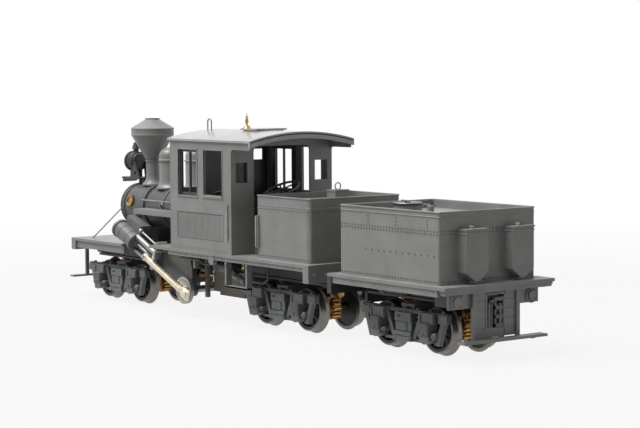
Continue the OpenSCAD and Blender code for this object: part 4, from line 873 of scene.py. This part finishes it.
def underframe_looks():
    """Air tanks, pipes, injectors and brake rods under the cab."""
    x0 = span("cab_walls")[0].x
    dark = Piece("underframe_pipes", DARK, slot="dark_paint", bevel=0.04)
    tank_y, tank_z, tank_r = 12.6, 14.6, 1.5
    tank_end = x0 + 26
    for s in SIDES:
        y = s * tank_y
        dark.rod((x0 + 17, y, tank_z), (tank_end, y, tank_z), tank_r, 32)
        for x in (x0 + 17.8, x0 + 24.6):
            dark.band((x, y, tank_z), (1, 0, 0), tank_r, tank_r + 0.12, 0.6, 32)
            dark.block((x, y - 0.3, 16), (x + 0.6, y + 0.3, 17.3))
        dark.tube([(tank_end, y, tank_z), (x0 + 28, y, tank_z), (x0 + 29.5, y, 14.0), (x0 + 30.5, y, 12.4),
                   (x0 + 32, y, 11.8), (x0 + 37, y, 11.8), (x0 + 39, y, 12.8), (x0 + 39, y, 17.3)], 0.35, 10)
        dark.tube([(x0 + 3.5, s * 15, 15.8), (x0 + 12, s * 15, 15.8), (x0 + 13.5, s * 14.6, 15.0),
                   (x0 + 17, y, 14.8)], 0.3, 10)
    dark.finish()
    grey = Piece("underframe_brackets", GREY)
    cap = [(0, 0), (1.2, 0), (1.2, 1.2), (0.8, 1.5), (0, 1.5)]
    for s in SIDES:
        y = s * 11.2
        grey.lathe(cap, (x0 + 19.3, s * 16.2, 16.4), (0, -s, 0), 24)
        grey.rod((x0 + 22, y, 12.5), (x0 + 27.2, y, 11.2), 0.75, 20)
        grey.band((x0 + 24.5, y, 11.85), (0.97, 0, -0.24), 0.75, 1.0, 0.7, 20)
        grey.block((x0 + 8, s * 13.2, 13.4), (x0 + 9, s * 14.2, 16.9))
    grey.finish()
    valve = Piece("underframe_valves", BRASS, slot="brass", bevel=0.03)
    knob = [(0, 0), (0.55, 0), (0.55, 0.7), (0.3, 0.9), (0.3, 1.3), (0.5, 1.4), (0.5, 1.6), (0, 1.6)]
    for s in SIDES:
        valve.lathe(knob, (x0 + 28.6, s * tank_y, tank_z), (0, 0, 1), 20)
    valve.finish()


def cab_side_panels(low, outer, deck):
    """A grooved board panel in each side wall, with a painted shadow along its top and front edges and thin dark
    joint lines along its bottom and back edges.
    """
    boards = Piece("cab_side_boards", GREY, bevel=0.02)
    shadow = Piece("cab_panel_painted_shadow", DARK, bevel=0)
    x0, z0 = low.x + 3.7, deck + 3.2
    length, height = 20.6, 6.4
    x1, z1 = x0 + length, z0 + height
    count, groove = 38, 0.06
    for s in SIDES:
        for i in range(count):
            x = x0 + length * i / count
            boards.block((x + groove, s * (outer - 0.3), z0 + 0.02),
                         (x + length / count - groove, s * (outer + 0.04), z1 - 0.02))
        # painted shadow: wide dark strips along the panel's top and front edges, thin dark lines along the other
        # two
        for a, b, c, d in ((x0 - 0.35, x1, z1, z1 + 0.24), (x0 - 0.35, x0, z0, z1),
                           (x0, x1, z0 - 0.1, z0), (x1, x1 + 0.1, z0, z1)):
            shadow.block((a, s * (outer - 0.1), c), (b, s * (outer + 0.03), d))
    boards.finish()
    shadow.finish()


def window_trim(low, outer, deck):
    """Raised surrounds and sills of the side windows."""
    trim = Piece("cab_trim", GREY, bevel=0.04)
    z0, z1 = deck + 14.0, deck + 25.8
    wide = 0.28
    for s in SIDES:
        back, face = s * (outer - 0.2), s * (outer + 0.12)
        for start, length in ((3.9, 8.8), (15.7, 8.3)):
            a, b = low.x + start, low.x + start + length
            for x in (a - wide, b):
                trim.block((x, back, z0), (x + wide, face, z1 + 0.25))
            trim.block((a - wide, back, z1), (b + wide, face, z1 + 0.25))
            trim.block((a - 0.4, back, z0 - 0.3), (b + 0.4, s * (outer + 0.2), z0))
    trim.finish()


def grab_irons(low, outer, deck):
    """Upright irons at the cab's rear corners and on the bunker."""
    irons = Piece("cab_grab_irons", NICKEL, bevel=0)
    bunker_low, bunker_high = span("bunker")
    cab_iron = (low.x + 26.3, outer, 0.22, deck + 4, 8.4)
    bunker_iron = (bunker_low.x + 0.9, bunker_high.y, 0.8, deck + 2.7, 7.6)
    for s in SIDES:
        for x, face, stands_off, z0, tall in (cab_iron, bunker_iron):
            wall, out, z1 = s * (face - 0.1), s * (face + stands_off), z0 + tall
            irons.tube([(x, wall, z0), (x, out, z0 + 0.1), (x, out, z0 + 0.6), (x, out, z1 - 0.6),
                        (x, out, z1 - 0.1), (x, wall, z1)], 0.27, 10)
    irons.finish()


def cab_looks():
    low, high = span("cab_walls")
    outer = -span("armrests")[0].y - 0.25
    deck = low.z - 0.02
    cab_side_panels(low, outer, deck)
    window_trim(low, outer, deck)
    grab_irons(low, outer, deck)
    # painted shade: a dark sheet with two uprights in the right front window, standing for the shaded cab interior
    # behind it
    window_shade = Piece("front_window_shade_right", DARK, slot="dark_paint")
    x0, x1, top = low.x + 0.65, low.x + 1.0, deck + 22.2
    window_shade.block((x0, 7.4, deck + 12.5), (x1, 14.4, top))
    for y in (8.0, 13.7):
        window_shade.block((x0, y - 0.7, top), (x1, y + 0.7, deck + 25.5))
    window_shade.finish()
    rivets = Piece("cab_rivets", RIVET_SHADE, bevel=0)
    front, rear = low.x + 0.5, high.x - 8.7
    for s in SIDES:
        y = s * outer
        rivets.rivets((front, y, deck + 0.8), (rear, y, deck + 0.8), 0.9, (0, s, 0), 0.1)
        for x in (front, rear):
            rivets.rivets((x, y, deck + 1.6), (x, y, deck + 26), 0.95, (0, s, 0), 0.1)
    rivets.finish()


def roof_looks():
    """A rib across the roof at each end."""
    low, high = span("cab_roof")
    p = Piece("cab_roof_ribs", GREY, bevel=0.03)
    half = high.y
    eave_z, rise = 46.2, 2.1
    radius = (half * half + rise * rise) / (2 * rise)
    middle = (0, eave_z + rise - radius)
    angle = math.degrees(math.asin(half / radius)) * 0.985
    outline = arc(middle, radius + 0.1, 90 - angle, 90 + angle, 40)
    outline += arc(middle, radius - 0.2, 90 + angle, 90 - angle, 40)
    for x in (low.x, high.x - 0.4):
        p.prism(outline, "X", x, x + 0.4)
    p.finish()


def bunker_looks():
    low, high = span("bunker")
    high.z = span("bunker_hatch")[0].z - 0.55
    p = Piece("bunker_rivets", RIVET_SHADE, bevel=0)
    for z in (low.z + 0.8, high.z - 3.2):
        loop_rivets(p, low, high, z, 1.0, 0.18)
    for s in SIDES:
        y = s * high.y
        for x in (low.x + 0.7, high.x - 1.0):
            p.rivets((x, y, low.z + 1.5), (x, y, high.z - 4), 0.68, (0, s, 0))
    p.finish()
    trim = Piece("bunker_rim", GREY, bevel=0)
    corner_r = 0.95
    trim.tube(rim_path(low, high, high.z - 0.13, corner_r), 0.19, 8, closed=True)
    trim.tube(rim_path(low, high, high.z - 2.4, corner_r, 0.01), 0.09, 6, closed=True)
    trim.finish()


# ---- Boiler, stack and domes ----

BOILER_R = 5.7
SMOKEBOX_R = 6.0
BAND = 0.2  # thickness of the boiler's bands


def boiler_axis_z():
    return span("boiler")[1].z - BAND - BOILER_R


def smokebox_looks(front, axis_z):
    """Rows of rivets round the smokebox, and the hinges, dogs and latch of its door."""
    p = Piece("smokebox_rivets", BOILER, bevel=0)
    for x in (front + 1.9, front + 10.1):
        for a in turns(44):
            n = Vector((0, math.cos(a), math.sin(a)))
            if n.z > -0.8:
                p.rivet(Vector((x, 0, axis_z)) + SMOKEBOX_R * n, n, 0.11)
    ring_r = 5.4
    for a in turns(30):
        p.rivet((front - 0.6, ring_r * math.cos(a), axis_z + ring_r * math.sin(a)), (-1, 0, 0), 0.16)
    p.finish()
    door = Piece("smokebox_door_fittings", BOILER, bevel=0.04)
    for z in (axis_z - 2, axis_z + 2):
        door.block((front - 1.25, -4.3, z - 0.35), (front - 0.95, 1.5, z + 0.35))
    door.rod((front - 1.3, -4.6, axis_z - 3), (front - 1.3, -4.6, axis_z + 3), 0.35, 16)
    dog_r = 4.25
    for a in turns(8, 0.5):
        door.bolt((front - 0.8, dog_r * math.cos(a), axis_z + dog_r * math.sin(a)), (-1, 0, 0), 0.32, 0.35)
    latch = [(front - 1.4, 0, axis_z), (front - 1.55, 1.0, axis_z - 0.6), (front - 1.5, 1.8, axis_z - 1.1)]
    door.tube(latch, 0.2, 8)
    door.finish()


def boiler_looks():
    front = span("smokebox")[0].x + 1.4
    axis_z = boiler_axis_z()
    smokebox_looks(front, axis_z)
    pipes = Piece("boiler_pipes", GREY, bevel=0.03)
    back = span("cab_walls")[0].x
    check_valve = [(0, 0), (0.8, 0), (0.8, 0.5), (0.5, 0.7), (0.5, 1.2), (0, 1.2)]
    for s in SIDES:
        pipes.tube([(back, s * 6.6, axis_z - 1.6), (back - 8, s * 6.4, axis_z - 1.8),
                    (back - 18, s * 6.3, axis_z - 1.4), (back - 20, s * 6.1, axis_z - 0.6),
                    (back - 20.3, s * 5.8, axis_z + 0.5)], 0.32, 10)
        pipes.lathe(check_valve, (back - 20.3, s * 5.2, axis_z + 1.0), (0, s, 0.15), 18)
        # steam pipe from the smokebox down to the cylinder
        pipes.tube([(front + 6.5, s * 5.2, axis_z - 2.6), (front + 6.8, s * 6.4, axis_z - 3.4),
                    (front + 7.2, s * 8.4, axis_z - 4.4), (front + 7.6, s * 10.4, axis_z - 5.2)], 0.75, 14)
    for x in (back - 4.2, back - 17.2):
        for s in SIDES:
            pipes.bolt((x, s * 2.6, axis_z + 5.25), (0, s * 0.4, 0.9), 0.45, 0.4)
    pipes.finish()


def stack_looks(axis_z):
    """The diamond stack, with a row of rivets round its widest part."""
    low, high = span("smokestack")
    x = (low.x + high.x) / 2
    foot = axis_z + SMOKEBOX_R - 0.35
    tall = high.z - foot
    p = Piece("diamond_stack", GREY, bevel=0)
    bore, pipe, widest = 1.4, 1.9, 6.0
    base = [(bore, 0.4), (3.0, 0.1), (3.05, 0.5), (2.6, 0.9), (2.15, 1.5), (1.95, 2.3), (pipe, 3.0),
            (pipe, 6.7), (pipe + 0.25, 6.75), (pipe + 0.25, 7.15), (pipe, 7.2)]
    diamond = [(widest - 0.12, tall - 4.75), (widest, tall - 4.7), (widest, tall - 4.35),
               (widest - 0.1, tall - 4.3), (widest - 0.1, tall - 3.15), (widest, tall - 3.1),
               (widest, tall - 2.75), (widest - 0.15, tall - 2.65)]
    mouth = [(pipe + 0.15, tall - 0.35), (pipe + 0.15, tall), (1.55, tall), (1.5, tall - 3), (bore, 0.4)]
    p.lathe(base + diamond + mouth, (x, 0, foot), (0, 0, 1), 72)
    p.finish(replaces=["smokestack"])
    seam = Piece("stack_seam_rivets", GREY, bevel=0)
    for a in turns(40):
        n = Vector((math.cos(a), math.sin(a), 0))
        seam.rivet(Vector((x, 0, high.z - 3.7)) + (widest - 0.1) * n, n, 0.1)
    seam.finish()


def dome(name, x, axis_z, r, tall):
    """A dome with a flared foot, a moulding and a round cap."""
    d = Piece(name, GREY, bevel=0)
    flat = 0.75  # height of the cap, as a share of its radius
    cap = tall - flat * r
    profile = [(0, 0.2), (r + 0.6, 0.2), (r + 0.85, 0.55), (r + 0.8, 0.85), (r + 0.35, 1.3), (r + 0.08, 1.9),
               (r, 2.4), (r, cap - 1.6), (r + 0.22, cap - 1.5), (r + 0.3, cap - 1.25), (r + 0.22, cap - 1.0),
               (r, cap - 0.9), (r, cap)]
    for degrees in range(8, 89, 8):
        a = math.radians(degrees)
        profile.append((r * math.cos(a), cap + flat * r * math.sin(a)))
    profile.append((0, tall))
    d.lathe(profile, (x, 0, axis_z + BOILER_R - 0.9), (0, 0, 1), 64)
    return d


def stack_and_dome_looks():
    axis_z = boiler_axis_z()
    stack_looks(axis_z)
    low, high = span("domes")
    sand_r, steam_r, flare = 3.1, 3.5, 0.9
    dome("sand_dome", low.x + sand_r + flare, axis_z, sand_r, 11.8).finish()
    x, tall = high.x - steam_r - flare, 12.4
    steam = dome("steam_dome", x, axis_z, steam_r, tall)
    valve = [(0, 0), (0.5, 0), (0.5, 0.5), (0.25, 0.8), (0, 0.9)]
    for y in (-1.1, 1.1):
        steam.lathe(valve, (x, y, axis_z + BOILER_R - 0.9 + tall - 0.35), (0, 0, 1), 16)
    steam.finish(replaces=["domes"])


def headlight_looks():
    low, high = span("headlight")
    x0 = low.x + 2.5
    drum_l, r = 3.2, 2.6
    drum_z = high.z - 2.7 - r
    body = Piece("headlight_drum_trim", DARK, slot="dark_paint", bevel=0.03)
    for x in (x0 + 1.4, x0 + drum_l - 0.5):
        body.lathe([(r, 0), (r + 0.12, 0.05), (r + 0.12, 0.3), (r, 0.35)], (x, 0, drum_z), (1, 0, 0), 40)
    body.lathe([(0, 0), (r - 0.2, 0), (r - 0.5, 0.35), (0, 0.5)], (x0 + drum_l, 0, drum_z), (1, 0, 0), 40)
    body.finish()
    reflector = Piece("headlight_reflector", NICKEL, slot="nickel", bevel=0)
    reflector.lathe([(2.1, 0), (1.9, 0.35), (1.4, 0.75), (0.7, 0.95), (0, 1.0), (0, 1.08), (0.8, 1.05),
                     (1.5, 0.85), (2.05, 0.4), (2.2, 0)], (x0 - 0.2, 0, drum_z), (1, 0, 0), 40)
    reflector.finish()
    lens = Piece("headlight_lens", GLASS, slot="dark_paint", bevel=0)
    lens.lathe([(2.18, 0), (2.18, 0.12), (1.4, 0.02), (0, -0.05), (0, -0.25), (1.4, -0.18), (2.18, 0)],
               (x0 - 0.05, 0, drum_z), (1, 0, 0), 40)
    lens.finish()


# ---- Engine ----

CYLINDER_FROM, CYLINDER_TO = 27.0, 36.2  # from the crankshaft, along the slope
CYLINDER_R = 2.3
ROD_L = 20.7  # between the wrist pin and the crank
THROW = 1.9


def slope_frame(side):
    """A matrix from (along, out, up) to the frame: along a cylinder's sloping axis, from the crankshaft."""
    crank = joint("crank_spin")
    slope = next(j for j in frame["joints"] if j["name"] == "crosshead_left_slide")["axis"]
    along = Vector(slope).normalized()
    out = Vector((0, side, 0))
    up = Vector((along.z, 0, -along.x)).normalized()
    matrix = Matrix.Identity(4)
    for k, column in enumerate((along, out, up)):
        for i in range(3):
            matrix[i][k] = column[i]
    matrix.translation = Vector((crank.x, side * abs(joint("rod_left_swing").y), crank.z))
    return matrix


def place(verts, matrix):
    for v in verts:
        v.co = matrix @ v.co


def main_rod(side, word, slope):
    """A fluted bar with a strapped big end, whose centre lies on the crank's circle."""
    rod = Piece(f"main_rod_{word}_bar", ROD, f"rod_{word[0]}", "nickel", bevel=0.06)
    low, high = span(f"main_rod_{word}")
    near = min(abs(low.y), abs(high.y))
    wrist = slope.inverted() @ joint(f"rod_{word}_swing")
    phase = math.pi if side == LEFT else math.pi / 2
    turn = Matrix.Rotation(math.asin(THROW * math.sin(phase) / ROD_L), 4, "Y")
    local = Matrix.Translation((wrist.x, near - abs(slope.translation.y), 0)) @ turn
    thick = 0.9
    head, tail = 1.6 - ROD_L, -1.6 - ROD_L
    outline = [(-0.9, -0.62), *arc((0, 0), 1.05, -90, 90, 10), (-0.9, 0.62), (head, 0.8),
               (head, 1.25), (tail + 0.35, 1.25), (tail, 0.9),
               (tail, -0.9), (tail + 0.35, -1.25), (head, -1.25), (head, -0.8)]
    made = rod.prism(outline, "Y", 0, thick)
    flute = [(-1.6, -0.42), (-1.6, 0.42), (head + 0.6, 0.55), (head + 0.6, -0.55)]
    made += rod.prism(flute, "Y", thick - 0.02, thick + 0.1)
    half = 1.45
    strap = [(head - 0.4, half), (tail - 0.1, half), (tail - 0.1, -half), (head - 0.4, -half)]
    made += rod.prism(strap, "Y", 0.1, thick - 0.1)
    cap = [(0, 0), (1.05, 0), (1.05, 0.18), (0.8, 0.3), (0.45, 0.34), (0, 0.34)]
    made += rod.lathe(cap, (-ROD_L, thick, 0), (0, 1, 0), 28)
    made += rod.band((0, thick, 0), (0, 1, 0), 0.52, 0.85, 0.2, 24)
    for along in (0.9 - ROD_L, 0.1 - ROD_L):
        for up in (1, -1):
            made += rod.post((along, thick / 2, up * half), (0, 0, up), 0.24, 0.25, 6)
    place(made, slope @ local)
    rod.finish(replaces=[f"main_rod_{word}"])


def cylinder_fittings(word, slope):
    """Nuts of the cylinder's covers and the bands of its lagging."""
    cylinder = Piece(f"cylinder_{word}_fittings", CYLINDER, bevel=0.03)
    r, nut_circle = CYLINDER_R, CYLINDER_R - 0.05
    made = []
    for along, direction in ((CYLINDER_TO, 1), (CYLINDER_FROM, -1)):
        for a in turns(10):
            nut = (along, nut_circle * math.cos(a), nut_circle * math.sin(a))
            made += cylinder.post(nut, (direction, 0, 0), 0.24, 0.22, 6)
    band = [(r, 0), (r + 0.1, 0.03), (r + 0.1, 0.4), (r, 0.43)]
    for along in (CYLINDER_FROM + 2.6, CYLINDER_FROM + 6):
        made += cylinder.lathe(band, (along, 0, 0), (1, 0, 0), 40)
    place(made, slope)
    cylinder.finish()


def valve_gear(word, slope):
    """Valve rod with its gland, and the rocker behind it."""
    valve = Piece(f"valve_gear_{word}", NICKEL, slot="nickel", bevel=0.04)
    start, y, z = CYLINDER_FROM, -1.2, 3.1
    made = valve.rod((start - 8.5, y, z), (start + 1.0, y, z), 0.3, 12)
    made += valve.band((start + 0.2, y, z), (1, 0, 0), 0.32, 0.75, 0.8, 20)
    place(made, slope)
    valve.finish()
    rocker = Piece(f"rocker_{word}", GREY, bevel=0.06)
    pivot = start - 9
    made = rocker.block((pivot - 0.6, -2.0, 1.4), (pivot + 0.7, -0.6, 4.4))
    made += rocker.rod((pivot, -3.2, 4.0), (pivot, 0.0, 4.0), 0.7, 20)
    made += rocker.rod((pivot, -1.9, z), (pivot, -0.3, z), 0.5, 16)
    place(made, slope)
    rocker.finish()


def engine_looks():
    crank = joint("crank_spin")
    for side, word in ((LEFT, "left"), (RIGHT, "right")):
        slope = slope_frame(side)
        main_rod(side, word, slope)
        cylinder_fittings(word, slope)
        valve_gear(word, slope)
    discs = Piece("crank_disc_faces", ROD, "crank", "nickel", bevel=0.03)
    disc_y = span("crankshaft")[1].y - 0.35
    for s in SIDES:
        centre = (crank.x, s * disc_y, crank.z)
        discs.post(centre, (0, s, 0), 1.2, 0.25, 32)
        discs.lathe([(3.2, 0), (3.2, 0.32), (3.0, 0.35), (2.95, 0)], centre, (0, s, 0), 56)
    discs.finish()
    plates = Piece("crank_plate_rivets", GREY, bevel=0)
    plate_high = span("crank_plates")[1]
    z = plate_high.z - 0.6
    for s in SIDES:
        y = s * (plate_high.y - 0.5)
        plates.rivets((crank.x - 17, y, z), (crank.x - 6, y, z), 1.0, (0, s, 0), 0.13)
    plates.finish()


# ---- CAD nodes that stay in view ----

NODE_MATERIALS = {
    "brass": BRASS, "gear_case_brass": OLD_BRASS, "nickel": NICKEL, "wheel_steel": TYRE,
    "ash_pan_paint": ASH, "dark_paint": DARK, "grey_paint": GREY}

OWN_MATERIALS = {
    "cab_roof": ROOF, "boiler": BOILER, "smokebox": BOILER, "cylinders": CYLINDER, "crank_plates": BOILER,
    "handrails": NICKEL, "tank_hatch": DARK}


def finish_nodes():
    """Gives every CAD node its own material, or the material of its slot."""
    for row in frame["record"]["subparts"]:
        node = frame["nodes"][row["node"]]
        node.data.materials.clear()
        node.data.materials.append(OWN_MATERIALS.get(row["node"], NODE_MATERIALS[row["material_slot"]]))


# ---- Studio ----

def floor_sheet():
    """A pale sheet that keeps the object's shadow, and turns white away from it."""
    half = 4.0
    mesh = bpy.data.meshes.new("studio_floor")
    corners = [(-half, -half, 0), (half, -half, 0), (half, half, 0), (-half, half, 0)]
    mesh.from_pydata(corners, [], [(0, 1, 2, 3)])
    floor = bpy.data.objects.new("studio_floor", mesh)
    bpy.context.scene.collection.objects.link(floor)
    sheet = Nodes("white_sheet")
    paper = sheet.mix(sheet.noise(40), (0.32, 0.32, 0.32, 1), (0.34, 0.34, 0.34, 1))
    sheet.link(paper, sheet.bsdf.inputs["Base Color"])
    sheet.set(Roughness=0.9)
    away = sheet.add("ShaderNodeVectorMath", operation="LENGTH")
    sheet.link(sheet.coordinates, away.inputs[0])
    glow = sheet.add("ShaderNodeEmission")
    white = sheet.add("ShaderNodeMixShader")
    near, far = 0.14, 0.34  # metres from the object's middle
    lift = sheet.spread(away.outputs["Value"], near, far, 0.88, 1.0)
    sheet.link(sheet.math("MULTIPLY", lift, sheet.seen_directly()), white.inputs[0])
    sheet.link(sheet.bsdf.outputs[0], white.inputs[1])
    sheet.link(glow.outputs[0], white.inputs[2])
    sheet.link(white.outputs[0], sheet.tree.nodes["Material Output"].inputs["Surface"])
    floor.data.materials.append(sheet.material)


def lamp(name, place, target, watts, width):
    light = bpy.data.lights.new(name, "AREA")
    light.energy = watts
    light.shape = "RECTANGLE"
    light.size = light.size_y = width
    made = bpy.data.objects.new(name, light)
    made.location = place
    made.rotation_euler = (Vector(target) - Vector(place)).to_track_quat("-Z", "Y").to_euler()
    bpy.context.scene.collection.objects.link(made)


def studio():
    """A white sheet and sky, a large soft lamp over the left side, and a weak one over the right."""
    world = bpy.data.worlds.new("studio")
    bpy.context.scene.world = world
    world.use_nodes = True
    sky = Tree(world.node_tree)
    background = world.node_tree.nodes["Background"]
    background.inputs["Color"].default_value = (1, 1, 1, 1)
    sky.link(sky.spread(sky.seen_directly(), 0, 1, 0.2, 1.0), background.inputs["Strength"])
    floor_sheet()
    lamp("key", (-0.15, -0.42, 0.95), (0, 0, 0.02), 15.2, 0.6)
    lamp("fill", (0.35, 0.85, 0.5), (0, 0, 0.02), 0.5, 0.6)


def camera():
    lens = bpy.data.cameras.new("camera")
    lens.sensor_width = 36
    lens.lens = 103.55
    made = bpy.data.objects.new("camera", lens)
    made.location = Vector((378.21, -272.61, 61.89)) * MM
    made.rotation_mode = "QUATERNION"
    yaw, pitch, roll = math.radians(52.899), math.radians(4.21), math.radians(-0.332)
    turned = Matrix.Rotation(yaw, 4, "Z") @ Matrix.Rotation(math.pi / 2 - pitch, 4, "X")
    made.rotation_quaternion = (turned @ Matrix.Rotation(roll, 4, "Z")).to_quaternion()
    bpy.context.scene.collection.objects.link(made)
    bpy.context.scene.camera = made


finish_nodes()
trucks()
tank_looks()
feed_box_looks()
coupler_looks()
rear_footboard_looks()
tender_frame_looks()
deck_looks()
underframe_looks()
cab_looks()
roof_looks()
bunker_looks()
boiler_looks()
stack_and_dome_looks()
headlight_looks()
engine_looks()
studio()
camera()

bpy.context.scene.view_settings.view_transform = "Standard"
